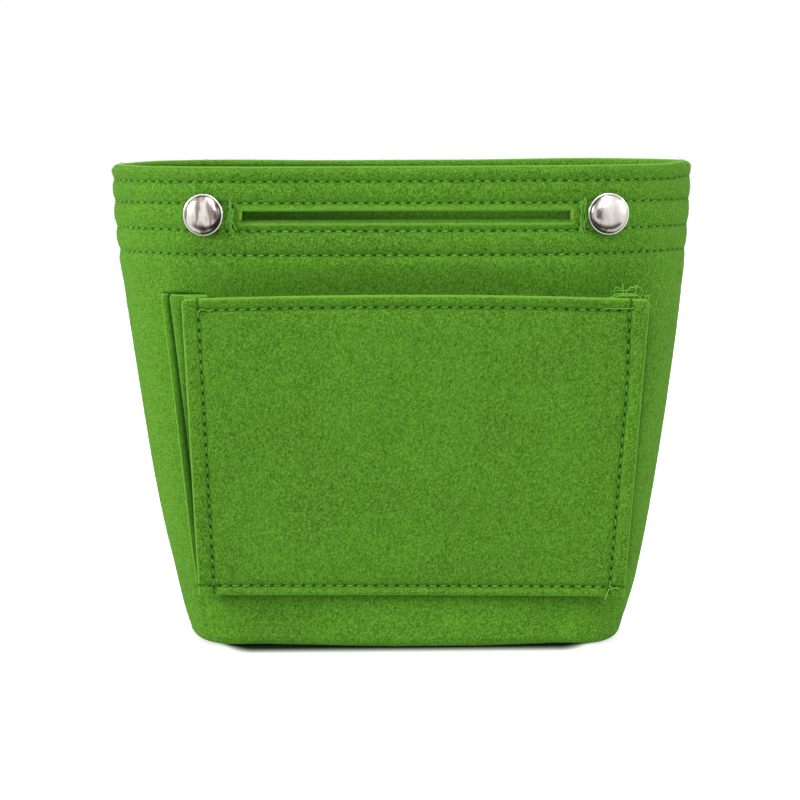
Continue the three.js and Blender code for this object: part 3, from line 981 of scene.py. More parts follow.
@dataclass
class Workroom:
    """What every sub-assembly uses: the plan, the finishes and the two node trees."""

    plan: Plan
    ruler: Ruler
    finishes: Finishes
    stitch: StitchKit
    stitch_tree: bpy.types.NodeTree
    fuzz: FuzzKit
    fuzz_tree: bpy.types.NodeTree
    pitch: float = STITCH_PITCH

    def finish_piece(
        self, piece: bpy.types.Object, body: str | None, slot: str, replaced: tuple[str, ...] = ()
    ) -> bpy.types.Object:
        """Fasten a piece to its body and hide the solids that it stands for.

        Args:
            piece: the finished piece.
            body: the body it rides, or None to leave it unfastened.
            slot: not used.
            replaced: the solids it stands for.

        Returns:
            The piece.
        """
        if body:
            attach(piece, body)
        if replaced:
            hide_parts(*replaced)
        log.info("%s: %d faces", piece.name, len(piece.data.polygons))
        return piece

    def stitches(
        self, name: str, places: Array, outward: Array, seed: int, sunk: bool = False
    ) -> bpy.types.Object:
        """Sew a run of stitches.

        Args:
            name: the piece's name.
            places: the middle of each stitch.
            outward: the direction away from the felt at each.
            seed: the seed of the small turns.
            sunk: whether the stitches lie deep in the felt.

        Returns:
            The piece, not yet on a body.
        """
        mesh = bpy.data.meshes.new(name + "_run")
        mesh.from_pydata((places * MM).tolist(), [], [])
        along = unit(np.gradient(places, axis=0))
        for label, directions in (("along", along), ("outward", unit(outward))):
            data = mesh.attributes.new(label, "FLOAT_VECTOR", "POINT").data
            data.foreach_set("vector", directions.astype(np.float32).ravel())
        run = bpy.data.objects.new(name + "_run", mesh)
        kit = self.stitch
        length, arch = (kit.sunk_length, kit.sunk_arch) if sunk else (kit.length, kit.arch)
        inputs = {"Length": length * MM, "Radius": kit.radius * MM, "Arch": arch * MM, "Sink": kit.sink * MM,
                  "Slant": kit.slant, "Jitter": kit.jitter, "Seed": seed, "Finish": self.finishes.thread}
        piece = grown(run, name, self.stitch_tree, inputs)
        bpy.data.objects.remove(run)
        return piece

    def fuzz_on(self, piece: bpy.types.Object, seed: int, share: float = 1.0) -> bpy.types.Object:
        """Strew loose fibres over a piece.

        Args:
            piece: the felt piece.
            seed: the seed of the fibres.
            share: how dense they are, as a share of the usual.

        Returns:
            The fibres, not yet on a body.
        """
        kit = self.fuzz
        inputs = {"Length": kit.length * MM, "Radius": kit.radius * MM, "Seed": seed,
                  "Density": kit.per_square_cm * 1e4 * share, "Finish": self.finishes.fibre}
        return grown(piece, piece.name + "_fuzz", self.fuzz_tree, inputs)


def thread_object(
    name: str, lines: list[Array | list[Point]], radius: float, material: bpy.types.Material
) -> bpy.types.Object:
    """Make loose threads along lines of points.

    Args:
        name: the piece's name.
        lines: the points of each thread.
        radius: the thread's radius.
        material: its finish.

    Returns:
        The object.
    """
    curve = bpy.data.curves.new(name, "CURVE")
    curve.dimensions = "3D"
    curve.bevel_depth = radius * MM
    curve.bevel_resolution = 1
    curve.resolution_u = 4
    curve.use_fill_caps = True
    for line in lines:
        spline = curve.splines.new("NURBS")
        spline.points.add(len(line) - 1)
        spline.points.foreach_set("co", np.c_[np.asarray(line) * MM, np.ones(len(line))].ravel())
        spline.use_endpoint_u = True
        spline.order_u = 3
    holder = in_scene(name, curve)
    mesh = evaluated_mesh(holder)
    bpy.data.objects.remove(holder)
    mesh.name = name
    mesh.materials.clear()
    mesh.materials.append(material)
    mesh.shade_smooth()
    return in_scene(name, mesh)


@dataclass
class FeltBody:
    """The felt walls, their facings and the base, with the sewn band and its slit."""

    room: Workroom
    felt: float = FELT_THICKNESS
    row_depths: tuple[float, ...] = (5.1, 13.5, 23.2, 31.5)
    band_height: float = 36.5
    base_rounding: float = 3.5
    rib_bulge: float = 0.5
    rib_curve: float = 2.6
    rib_fade: float = 10.0
    groove: float = 0.42
    puckers: tuple[Ends, ...] = ((0.2, 1.1), (0.07, 2.6))
    waves: tuple[Point, ...] = ((0.20, 13.1, 31), (0.16, 7.7, -19), (0.12, 23, 11))
    wave_level: float = 0.16
    seat_height: float = 0.25
    calm_height: float = 0.35
    band_hollow: float = 0.9
    press_depth: Ends = (1.3, 0.4)
    lip_above: float = 0.3
    lip_below: float = 0.7
    boxed_creases: tuple[Point, ...] = ((-72.6, 0.10, 0.75), (74.5, -0.12, 0.45))
    row_middle: tuple[float, ...] = (-0.35, 0.0, -0.1, -0.25)
    row_left: tuple[float, ...] = (-0.15, 0.0, 0.6, 0.6)
    row_right: tuple[float, ...] = (0.0, 0.5, 1.0, 0.7)
    slit_half_length: float = 57.6
    slit_level: float = 154.05
    slit_height: float = 3.3
    slit_seen_in: Ends = (1.3, 0.3)
    facing_gap: float = 0.3
    snap_offset: float = SNAP_OFFSET
    snap_level: float = SNAP_LEVEL
    cap_radius: float = 7.5
    column_step: float = 0.925
    level_step: float = 4.2
    edge_places: tuple[float, ...] = (0.0, 0.22, 0.5, 0.85, 1.3)
    press_level: float = 126.35
    press_places: tuple[float, ...] = (125.0, 125.5, 125.8, 126.1, 126.35, 126.6, 126.9, 127.3, 128.0, 130.0)
    lean: float = 0.37
    rib_tail: float = 4.2
    foot_swell: float = 4.2
    corner_swell: Ends = (4.0, 5.5)
    corner_draw: float = 2.0
    corner_rise: Ends = (0.5, 0.1)
    foot_draw: float = 1.3
    rim_draw: float = 0.9
    rim_tilt: float = 0.3
    rim_drop: float = 0.3
    rim_middle: Ends = (-0.35, 0.65)
    rim_ends: Ends = (0.3, 0.75)
    back_rise: float = 0.75
    base_thickness: float = 3.0
    spine_half_length: float = 42.0
    base_row: float = 24.5
    tack_offset: float = 61.6

    def __post_init__(self) -> None:
        """Work out what follows from the sizes."""
        plan = self.room.plan
        self.rows = [plan.height - depth for depth in self.row_depths]
        self.band_foot = plan.height - self.band_height
        self.slit_low = self.slit_level - self.slit_height / 2
        self.slit_high = self.slit_level + self.slit_height / 2
        self.reach = self.room.ruler.reach()

    def columns(self, step: float, slit: Ends | None) -> tuple[Array, Array]:
        """Return the turns and lengths of the grid's columns.

        Args:
            step: the regular distance between columns.
            slit: the slit's ends as x, or None.

        Returns:
            The turns and the lengths from the middle.
        """
        ruler = self.room.ruler
        count = int(round(2 * self.reach / step))
        regular = list(np.linspace(-self.reach, self.reach, count + 1))
        kept = [s * (self.reach - d) for s in (-1, 1) for d in (0.0, 0.3, 0.8)]
        if slit:
            for end in slit:
                length = float(ruler.lengths(self.room.plan.turn_at(self.slit_level, end)))
                kept += [length + math.copysign(d, end) for d in self.edge_places]
        lengths = thinned(regular, 0.2, kept)
        return ruler.turns(lengths), lengths

    def levels(self, low: float, band_step: float, band: Ends | None) -> Array:
        """Return the heights of the grid's rows, from low to the rim.

        Args:
            low: the lowest height.
            band_step: the regular distance between rows in the band.
            band: the slit's lower and upper height, or None.

        Returns:
            The heights.
        """
        top, below_band = self.room.plan.height, self.band_foot - 1
        regular = list(np.arange(low, below_band, self.level_step)) if low < below_band else []
        regular += list(np.arange(max(below_band, low), top - 3.2, band_step))
        kept = [low, top, *self.rows]
        kept += [top - 3.0 * (1 - math.cos(a)) for a in np.linspace(0.15, math.pi / 2, 8)]
        if band:
            kept += self.press_places
            kept += [band[0] - d for d in self.edge_places] + [band[1] + d for d in self.edge_places]
        return thinned(regular, 0.2, kept)

    def grid(
        self, step: float, low: float, band_step: float, slit: Ends | None, band: Ends | None
    ) -> tuple[Array, Array, Array, Array]:
        """Lay the grid of a wall or a facing.

        Args:
            step: the regular distance between columns.
            low: the lowest height.
            band_step: the regular distance between rows in the band.
            slit: the slit's ends as x, or None.
            band: the slit's lower and upper height, or None.

        Returns:
            The heights, the turns, the lengths from the middle and the places along the front.
        """
        turns, lengths = self.columns(step, slit)
        z, turn = np.meshgrid(self.levels(low, band_step, band), turns, indexing="ij")
        return z, turn, np.broadcast_to(lengths, z.shape), self.room.plan.point(z, turn)[..., 0]

    def row_heights(self, u: Array) -> Array:
        """Return the sewn height of each row at lengths from the middle, on the last axis."""
        left, right = smooth_step(40, 100, -u)[..., None], smooth_step(40, 100, u)[..., None]
        rows = np.array(self.rows) + np.array(self.row_middle)
        return rows + left * np.array(self.row_left) + right * np.array(self.row_right)

    def settle(self, points: Array, front: bool) -> Array:
        """Sag the rim, raise the boxed corners and swell the foot, as the felt has settled.

        Args:
            points: points of one half, in its final place.
            front: whether it is the front half.

        Returns:
            The moved points.
        """
        x, z = points[..., 0], points[..., 2]
        side = np.clip(x / 106, -1, 1)
        end = smooth_step(0.86, 0.99, np.abs(side))
        middle = self.rim_middle[0 if front else 1] * (1 - side**2)
        sag = self.rim_tilt * side - self.rim_drop + middle + end * np.where(side < 0, *self.rim_ends)
        if not front:
            sag = sag + self.back_rise * smooth_step(0.2, 0.75, np.abs(side)) * (1 - end)
        foot = 1 - smooth_step(0, 26, z)
        corner_lift = foot * np.where(x < 0, *self.corner_rise) * smooth_step(42, 72, np.abs(x))
        lift = smooth_step(158, 171, z) * sag + corner_lift
        swell = self.foot_swell * foot * (1 - smooth_step(12, 66, np.abs(x - 12)))
        moved = points.copy()
        moved[..., 0] += self.foot_draw * (1 - smooth_step(-4, 12, z)) * smooth_step(52, 72, -x)
        moved[..., 0] -= self.rim_draw * smooth_step(146, 170, z) * smooth_step(0.72, 0.98, side)
        moved[..., 2] += lift
        moved[..., 1] += swell * (-1 if front else 1)
        if front:
            squared = (1 - smooth_step(0, 21, z)) * smooth_step(0, 14, -points[..., 1])
            moved[..., 1] -= squared * np.where(x < 0, *self.corner_swell) * smooth_step(50, 76, np.abs(x))
            moved[..., 0] -= self.corner_draw * squared * smooth_step(60, 76, x)
        return moved

    def settled(self, z: Array | float, turn: Array, out: Array | float, front: bool) -> Array:
        """Return the settled points of one half at distances outside the plan."""
        return self.settle(self.room.plan.offset(z, turn, out) * [1, 1 if front else -1, 1], front)

    def height_left(self, z: Array) -> Array:
        """Return how far below the rim's cut edge each height lies."""
        return np.maximum(self.room.plan.height - z, 0) * 1.5

    def wave(self, z: Array, u: Array, front: bool) -> Array:
        """Return the felt's slow unevenness, none at the foot.

        Args:
            z: heights.
            u: lengths from the middle of the front.
            front: whether this is the front half.

        Returns:
            The distances.
        """
        phase = 0.6 if front else 2.1
        swing = 0
        for i, (height, across, up) in enumerate(self.waves, 1):
            swing = swing + height * np.sin(u / across + z / up + i * phase)
        return (swing - self.wave_level) * smooth_step(10, 34, z)

    def slit_distance(self, x: Array, z: Array, ends: Ends, band: Ends) -> Array:
        """Return the distance to the slit's opening, 0 inside it.

        Args:
            x: places along the front.
            z: heights.
            ends: the slit's ends as x.
            band: the slit's lower and upper height.

        Returns:
            The distances.
        """
        beside = np.maximum(np.maximum(ends[0] - x, x - ends[1]), 0)
        above = np.maximum(np.maximum(band[0] - z, z - band[1]), 0)
        return np.hypot(beside, above)

    def outside_slit(self, x: Array, z: Array, ends: Ends, band: Ends) -> Array:
        """Return which cells of a grid lie outside the slit's opening.

        Args:
            x: places along the front.
            z: heights.
            ends: the slit's ends as x.
            band: the slit's lower and upper height.

        Returns:
            The cells.
        """
        across, up = cell_middles(x), cell_middles(z)
        return ~((across > ends[0]) & (across < ends[1]) & (up > band[0]) & (up < band[1]))

    def stitch_place(self, z: Array, u: Array) -> Array:
        """Return the place along a row in stitches, which step sideways from row to row."""
        return (u + self.lean * z) / self.room.pitch

    def seam_map(self, z: Array, u: Array) -> Array:
        """Return the seam map: the place along the nearest row in stitches, and the distance to it.

        Args:
            z: heights.
            u: lengths from the middle of the front.

        Returns:
            The two values of each point, on the last axis.
        """
        gaps = z[..., None] - self.row_heights(u)
        nearest = np.abs(gaps).argmin(-1)
        across = np.take_along_axis(gaps, nearest[..., None], -1)[..., 0]
        across = np.clip(across, -FAR_FROM_SEAM, FAR_FROM_SEAM)
        return np.stack(np.broadcast_arrays(self.stitch_place(z, u), across), -1)

    def relief(self, z: Array, u: Array, x: Array, front: bool) -> Array:
        """Return how far the outer face stands off the plan: ribs, grooves, puckers and dents.

        Args:
            z: heights.
            u: lengths from the middle of the front.
            x: places along the front.
            front: whether this is the front half, which has the slit and the pocket.

        Returns:
            The distances.
        """
        plan = self.room.plan
        rows = self.row_heights(u)
        out = np.zeros(z.shape)
        pinch = 0.5 + 0.5 * np.cos(2 * np.pi * self.stitch_place(z, u))
        for i in range(len(self.rows)):
            row = rows[..., i]
            above = (rows[..., i - 1] - row) / 2 if i else (plan.height + 2.0 - row) / 2
            last = i + 1 == len(self.rows)
            below = np.full(z.shape, self.rib_tail) if last else (row - rows[..., i + 1]) / 2
            part = np.where(z >= row, np.clip((z - row) / above, 0, 1), np.clip((row - z) / below, 0, 1))
            puff = (self.groove + self.rib_bulge) * (1 - (1 - part) ** self.rib_curve) - self.groove
            reach = (z < row + above) & (z >= row - below)
            out = np.where(reach, puff, out)
        foot = rows[..., -1] - self.rib_tail
        tail = np.clip((foot - z) / self.rib_fade, 0, 1)
        out = np.where(z < foot, self.rib_bulge * (1 - smooth_step(0, 1, tail)), out)
        out = np.where(z > plan.height - 4, np.maximum(out, 0.15), out)
        gap = np.min(np.abs(z[..., None] - rows), -1)
        for depth, width in self.puckers:
            out = out - depth * pinch * bell(gap, width)
        out = out + self.wave(z, u, front)
        for side in Side:
            near = np.hypot(x - side.value * self.snap_offset, z - self.snap_level)
            seat = 1 - smooth_step(self.cap_radius - 0.6, self.cap_radius + 2.2, near)
            out = blend_between(out, np.minimum(out, self.seat_height), seat)
        calm = smooth_step(80, 104, x) * smooth_step(128, 136, z)
        out = out * (1 - 0.5 * calm) + self.calm_height * calm
        if front:
            middle = 1 - smooth_step(20, 78, np.abs(x))
            out = out - self.band_hollow * middle * plateau(z, 108, 120, 129, 139)
            beside = plateau(np.abs(x), 70, 72, 85.5, 87)
            press = np.where(x < 0, *self.press_depth)
            out = out - press * beside * bell(z - self.press_level, 0.5)
            over = self.lip_above * bell(z - self.slit_high - 1.4, 1.1)
            under = self.lip_below * smooth_step(rows[..., 2] + 1.0, self.slit_low, z)
            under = under * (z <= self.slit_low)
            out = out + (over - under) * (1 - smooth_step(0, 4, np.abs(x) - self.slit_half_length))
        return out

    def wall(self, half: Half) -> bpy.types.Object:
        """Make one half of the outer wall.

        Args:
            half: which half.

        Returns:
            The piece.
        """
        front = half is Half.FRONT
        slit = (-self.slit_half_length, self.slit_half_length) if front else None
        band = (self.slit_low, self.slit_high) if front else None
        z, turn, u, x = self.grid(self.column_step, self.base_rounding + 0.02, 0.52, slit, band)
        out = self.relief(z, u, x, front)
        inside = np.minimum(0.5 * self.wave(z, u, front) - self.felt, 0.1 - self.felt)
        # cut places the painted highlight: on the rim's top here, and along the slit's edges below.
        keep, cut, shade = None, self.height_left(z), 0.0
        if front:
            away = self.slit_distance(x, z, slit, band)
            crest = 0.32 * bell(away - 0.9, 0.9) * (away < 5)
            out = out + crest - edge_drop(away, 0.5) - self.boxed_crease(x, z)
            inside = inside + edge_drop(away, 0.4)
            keep = self.outside_slit(x, z, slit, band)
            # Painted highlight lines along the slit: a little below its lower edge and at its upper edge.
            lip_highlight = np.where(z < self.slit_low, np.abs(away - 1.25) * 1.2, away * 0.5)
            cut = np.minimum(cut, np.where(away < 4, lip_highlight, 4))
            shade = self.wall_shade(x, z, away)
        fall = self.room.plan.height - z
        out = blend_between(out, -self.felt + 0.05, edge_share(fall, 2.3) * 0.98)
        seam_edge = edge_drop(self.reach - np.abs(u), 0.8) * smooth_step(0, 6, fall + 3)
        outer = self.settled(z, turn, out - seam_edge, front)
        inner = self.settled(z, turn, inside, front)
        sheet = Sheet(outer, inner, self.seam_map(z, u), keep, cut=cut, shade=shade)
        piece = sheet.build(f"{half.value}_wall_felt", self.room.finishes.felt)
        return self.room.finish_piece(piece, "shell", "felt_green", (f"{half.value}_wall",))

    def wall_shade(self, x: Array, z: Array, away: Array) -> Array:
        """Return the depth of shade on the front wall.

        Args:
            x: places along the front.
            z: heights.
            away: distances to the slit.

        Returns:
            The shade in the slit's lower edge, under the pocket and beside the right gusset.
        """
        slit = 0.3 * (z <= self.slit_low) * (away < 0.75)
        under = plateau(z, 15.8, 17.4, 18, 24) * (1 - smooth_step(74, 77, np.abs(x)))
        under = under * (0.2 + 0.12 * smooth_step(30, 66, np.abs(x)))
        past = x - np.interp(z, (27, 120), (79.2, 86.2))
        fade = 0.5 * (1 - smooth_step(0.8, 2.4, past)) + 0.13 * (1 - smooth_step(2, 6, past))
        return slit + under + smooth_step(-1.5, -0.3, past) * fade * plateau(z, 22, 28, 116, 122)

    def boxed_crease(self, x: Array, z: Array) -> Array:
        """Return the depth of the creases where the bottom is boxed at the two front corners.

        Args:
            x: places along the front.
            z: heights.

        Returns:
            The depths.
        """
        depth = np.zeros(x.shape)
        for place, lean, deep in self.boxed_creases:
            line = place + lean * (12 - z)
            depth += deep * bell(x - line, 1.3) * plateau(z, 6.2, 9, 13, 27)
        return depth

    def facing(self, half: Half) -> None:
        """Make one half of the inner strip of the band.

        Args:
            half: which half.
        """
        front = half is Half.FRONT
        left_in, right_in = self.slit_seen_in
        slit = (-self.slit_half_length + left_in, self.slit_half_length - right_in) if front else None
        band = (self.slit_low + 0.45, self.slit_high - 0.1) if front else None
        z, turn, u, x = self.grid(2 * self.column_step, self.band_foot, 0.8, slit, band)
        gap = np.min(np.abs(z[..., None] - self.row_heights(u)), -1)
        hull = -self.felt - self.facing_gap
        outside = np.full(z.shape, hull)
        inside = hull - self.felt + self.groove * bell(gap, 1.3)
        inside = blend_between(inside, hull - 0.05, edge_share(self.room.plan.height - z, 3.0) * 0.98)
        inside = inside + edge_drop(z - self.band_foot, 1.0)
        keep, cut = None, self.height_left(z)
        if front:
            away = self.slit_distance(x, z, slit, band)
            outside = outside - edge_drop(away, 0.6)
            inside = inside + edge_drop(away, 0.8)
            keep = self.outside_slit(x, z, slit, band)
            # The lining's slit edges get the painted highlight too.
            cut = np.minimum(cut, away)
        outer = self.settled(z, turn, inside, front)
        inner = self.settled(z, turn, outside, front)
        sheet = Sheet(outer, inner, self.seam_map(z, u), keep, cut=cut)
        piece = sheet.build(f"{half.value}_facing_felt", self.room.finishes.lining)
        self.room.finish_piece(piece, "shell", "felt_green", (f"{half.value}_facing",))

    def base(self) -> None:
        """Make the boxed bottom, whose edge turns up to meet the walls."""
        front = self.room.ruler.turns(np.linspace(-self.reach, self.reach, 241))[:-1]
        back = self.room.ruler.turns(np.linspace(self.reach, -self.reach, 241))[:-1]
        angles = np.linspace(np.pi / 2, 0, 9)
        outer_radius = self.base_rounding
        inner_radius = outer_radius - self.base_thickness
        under = [(outer_radius * (math.sin(a) - 1), outer_radius * (1 - math.cos(a))) for a in angles]
        above = [(inner_radius * math.sin(a) - outer_radius, outer_radius - inner_radius * math.cos(a))
                 for a in angles]

        def ring(out: float, z: float) -> Array:
            """Return one closed ring of points."""
            return np.concatenate([self.settled(z, front, out, True), self.settled(z, back, out, False)])

        def filled(profile: list[Ends]) -> Array:
            """Return the rings of a profile and then those across its flat part."""
            rings = [ring(out, z) for out, z in profile]
            last = rings[-1]
            along = np.clip(last[:, 0], -self.spine_half_length, self.spine_half_length)
            spine = np.stack([along, np.zeros(len(last)), last[:, 2]], -1)
            shares = (0.12, 0.3, 0.5, 0.7, 0.85, 0.97, 0.9995)
            return np.stack(rings + [blend_between(last, spine, share) for share in shares])

        outer, inner = filled(under), filled(above)
        x, y = outer[..., 0], outer[..., 1]
        border = np.abs(np.hypot(np.maximum(np.abs(x) - self.spine_half_length, 0), y) - self.base_row)
        along = np.broadcast_to(np.arange(outer.shape[1]) * 1.25 / self.room.pitch, border.shape)
        seam = np.stack([along, np.where(outer[..., 2] < 0.5, border, FAR_FROM_SEAM)], -1)
        piece = Sheet(outer, inner, seam, closed=True).build("base_felt", self.room.finishes.felt)
        self.room.finish_piece(piece, "shell", "felt_green", ("base_panel",))

    def stitch_lengths(self, row: float) -> Array:
        """Return the lengths of the middles of a row's stitches."""
        shift, end = self.lean * row, self.reach - 1.5
        return stitch_places(shift - end, shift + end, self.room.pitch) - shift

    def band_stitching(self) -> None:
        """Sew the four rows round the outside of the band, and their undersides on the facings."""
        plan, room = self.room.plan, self.room
        for i, row in enumerate(self.rows):
            lengths = self.stitch_lengths(row)
            turns, heights = room.ruler.turns(lengths), self.row_heights(lengths)[:, i]
            waves = [self.wave(heights, lengths, front)[:, None] for front in (True, False)]
            for inside in (False, True):
                level = -self.felt * 2 - self.facing_gap + self.groove if inside else -self.groove
                near = plan.offset(heights, turns, level)
                facing = plan.outward(heights, turns) * (-1 if inside else 1)
                wave = (0, 0) if inside else waves
                front = self.settle(near + facing * wave[0], True)
                back = self.settle((near + facing * wave[1]) * [1, -1, 1], False)
                places = np.concatenate([front, back[::-1]])
                outward = np.concatenate([facing, (facing * [1, -1, 1])[::-1]])
                name = f"band_stitches_{'inside_' if inside else ''}{i + 1}"
                piece = room.stitches(name, places, outward, 40 + i)
                replaced = () if inside else (f"band_stitching_{i + 1}",)
                room.finish_piece(piece, "shell", "thread_green", replaced)

    def tack(self, side: Side) -> None:
        """Make the bar tack beside an end of the slit, with its loose thread ends, and short dark threads as
        painted shade in its needle prick holes.

        Args:
            side: which end.
        """
        plan, sin, cos = self.room.plan, math.sin, math.cos
        rng = np.random.default_rng(5 if side is Side.LEFT else 9)
        middle = side.value * self.tack_offset

        def over(points: list[Point]) -> Array:
            """Return points over the band, from x, z and the distance off it."""
            return np.array([plan.offset(z, plan.turn_at(z, x), out) for x, z, out in points])

        lines = []
        for strand in range(2):
            shift = middle + (strand - 0.5) * 0.55
            heights = np.linspace(147.9, 159.2, 14)
            lines.append([(shift + 0.15 * sin(k * 1.9 + strand), z, 0.75 + 0.25 * sin(k * 0.8))
                          for k, z in enumerate(heights)])
        if side is Side.LEFT:
            for knot in range(5):
                shift, centre = middle + 0.2 * knot - 0.4, 151.6 + knot * 0.9
                turns = np.linspace(0, 2 * np.pi * 1.3, 13) + knot * 1.7
                lines.append([
                    (shift + 0.9 * cos(t), centre + 1.25 * sin(t) + 0.3 * k / 12, 1.5 + 0.35 * sin(2 * t))
                    for k, t in enumerate(turns)])
            lines += [[(-61.4, 155.5, 1.6), (-61.0, 157.5, 2.0), (-61.5, 159.0, 1.7), (-61.2, 160.6, 1.9)],
                      [(-61.8, 153.0, 1.6), (-62.6, 152.4, 2.1), (-63.6, 151.9, 2.0), (-64.6, 151.8, 1.9)],
                      [(-61.5, 151.5, 1.5), (-61.0, 149.6, 1.9), (-60.4, 148.4, 1.6), (-60.9, 147.0, 1.4)],
                      [(-60.9, 152.5, 1.6), (-60.0, 150.6, 1.8), (-59.7, 149.5, 1.5), (-59.1, 148.9, 1.3)]]
        else:
            for loop in range(2):
                shift = middle - 0.7 + loop * 1.5
                heights = np.linspace(148.5, 159.5 + loop, 12)
                lines.append([(shift + 0.25 * sin(k * 1.3 + loop * 2), z, 1.35)
                              for k, z in enumerate(heights)])
            lines += [[(62.4, 157.2, 1.5), (61.6, 158.8, 1.9), (62.3, 160.4, 1.8), (63.1, 159.2, 1.6),
                       (62.6, 157.8, 1.4)],
                      [(61.0, 150.0, 1.4), (60.2, 149.0, 1.7), (60.6, 148.0, 1.3)]]
        threads = [over(line) for line in lines]
        threads = [line + rng.normal(0, 0.05, line.shape) for line in threads]
        name, finishes = f"slit_tack_threads_{side.label}", self.room.finishes
        piece = thread_object(name, threads, 0.15, finishes.loose_thread)
        self.room.finish_piece(piece, "shell", "thread_green", (f"slit_tack_{side.label}",))
        # Short dark threads laid as painted shade in the needle prick holes beside the tack.
        prick_shades = (
            (0.7, 149.0, 2.2), (0.9, 152.6, 2.8), (-1.0, 150.6, 1.2), (0.7, 156.6, 1.4), (-0.7, 155.0, 2.0))
        lines = [over([(middle + shift, z, 0.12), (middle + shift + 0.1, z + rise, 0.2)])
                 for shift, z, rise in prick_shades]
        piece = thread_object(f"slit_tack_pricks_{side.label}", lines, 0.3, finishes.prick_shade)
        self.room.finish_piece(piece, "shell", "felt_green")

    def build(self) -> None:
        """Make every piece of the body."""
        for half in Half:
            wall = self.wall(half)
            fuzz = self.room.fuzz_on(wall, 21 if half is Half.FRONT else 22)
            self.room.finish_piece(fuzz, "shell", "felt_green")
            self.facing(half)
        self.base()
        self.band_stitching()
        for side in Side:
            self.tack(side)


@dataclass
class Snaps:
    """The domed caps with their posts, the sockets inside the front and the studs inside the back."""

    room: Workroom
    offset: float = SNAP_OFFSET
    level: float = SNAP_LEVEL
    radius: float = 7.4
    seat: float = 1.0
    back_seat: float = -5.9

    def frame_at(self, side: Side, half: Half) -> Matrix:
        """Return the place of a snap, with its axis outward as local Z.

        Args:
            side: the snap's side.
            half: the snap's half.

        Returns:
            The place.
        """
        plan = self.room.plan
        turn = float(plan.turn_at(self.level, side.value * self.offset))
        middle = plan.offset(self.level, turn, 0.0)
        out = plan.offset(self.level, turn, 1.0) - middle
        up = plan.offset(self.level + 17.5, turn, 0.0) - middle
        outward = unit(np.cross(np.cross(up, out), up))
        if half is Half.BACK:
            middle, outward = middle * [1, -1, 1], outward * [1, -1, 1]
        turned = Vector(outward).to_track_quat("Z", "Y").to_matrix().to_4x4()
        turned = turned @ Matrix.Rotation(math.radians(-3.0 if side is Side.LEFT else -5.0), 4, "Y")
        return Matrix.Translation(Vector(middle)) @ turned

    def lathe(
        self, name: str, profile: list[Ends], place: Matrix, segments: int, streaked_reflection: bool = False
    ) -> bpy.types.Object:
        """Turn a profile of radii and heights round a snap's axis.

        Args:
            name: the piece's name.
            profile: the profile, from the axis at the bottom, round and back to the axis or the start.
            place: the snap's place.
            segments: the number of sides.
            streaked_reflection: whether the plate has the darker painted streaked reflections.

        Returns:
            The object.
        """
        angles = np.arange(segments) / segments * 2 * np.pi
        radii = np.array([max(r, 0.0) for r, _ in profile])
        heights = np.array([h for _, h in profile])
        ring = radii[:, None] * np.stack([np.cos(angles), np.sin(angles)])[:, None]
        points = np.stack([*ring, np.repeat(heights[:, None], segments, 1)], -1)
        mesh = bpy.data.meshes.new(name)
        turned = np.array(place)
        flat = points.reshape(-1, 3) @ turned[:3, :3].T + turned[:3, 3]
        faces = []
        count = len(profile)
        for i in range(count - 1):
            for j in range(segments):
                k = (j + 1) % segments
                low, high = i * segments, (i + 1) * segments
                a, b, c, d = low + j, low + k, high + k, high + j
                if radii[i] == 0:
                    faces.append((low, c, d))
                elif radii[i + 1] == 0:
                    faces.append((a, b, high))
                else:
                    faces.append((a, b, c, d))
        used = sorted({v for face in faces for v in face})
        number = {v: i for i, v in enumerate(used)}
        mesh.from_pydata((flat[used] * MM).tolist(), [], [[number[v] for v in face] for face in faces])
        disc = (points.reshape(-1, 3)[used, :2] / self.radius).astype(np.float32)
        corner_of = np.empty(len(mesh.loops), np.int32)
        mesh.loops.foreach_get("vertex_index", corner_of)
        mesh.uv_layers.new(name="Disc").data.foreach_set("uv", disc[corner_of].ravel())
        if profile[0] == profile[-1]:
            merge_doubles(mesh)
        mesh.shade_smooth()
        mesh.materials.append(self.room.finishes.nickel_streaked_reflection if streaked_reflection else self.room.finishes.nickel)
        return in_scene(name, mesh)

    def cap(self, side: Side, half: Half) -> None:
        """Make a domed cap with its rolled edge and its post.

        Args:
            side: the cap's side.
            half: the cap's half.
        """
        seat, edge, height, foot = self.seat, self.radius, 3.1, self.back_seat - 0.6
        dome, brim = edge - 0.72, seat + 0.74
        profile = [(0, foot), (1.7, foot), (1.9, foot + 0.2), (1.9, seat - 0.5), (1.9, seat)]
        profile.append((edge - 0.9, seat))
        profile += [(edge - 0.45 + 0.45 * math.sin(a), seat + 0.42 - 0.42 * math.cos(a))
                    for a in np.linspace(0.2, 2.6, 9)]
        profile += [(edge - 0.62, seat + 0.70), (dome, brim)]
        profile += [(dome * math.cos(a) ** 0.92, brim + (height - 0.74) * math.sin(a) ** 0.95)
                    for a in np.linspace(0.06, math.pi / 2, 22)[:-1]]
        profile.append((0, seat + height))
        name = f"cap_{half.value}_{side.label}"
        streaked_reflection = side is Side.LEFT and half is Half.FRONT
        piece = self.lathe(name, profile, self.frame_at(side, half), 72, streaked_reflection)
        self.room.finish_piece(piece, "shell", "snap_metal", (f"snap_{name}",))

    def socket(self, side: Side) -> None:
        """Make a socket, a flange with a rolled ring round its bore."""
        seat = self.back_seat
        top = seat - 2.2
        profile = [(2.7, seat), (2.7, top + 0.5)]
        profile += [(3.25 - 0.55 * math.cos(a), top + 0.5 - 0.5 * math.sin(a))
                    for a in np.linspace(0.3, math.pi, 8)]
        profile += [(3.85, seat - 1.3), (4.1, seat - 0.95), (5.2, seat - 0.8), (5.55, seat - 0.6),
                    (5.6, seat - 0.3), (5.45, seat), (2.7, seat)]
        piece = self.lathe(f"socket_{side.label}", profile, self.frame_at(side, Half.FRONT), 48)
        self.room.finish_piece(piece, "shell", "snap_metal", (f"snap_socket_{side.label}",))

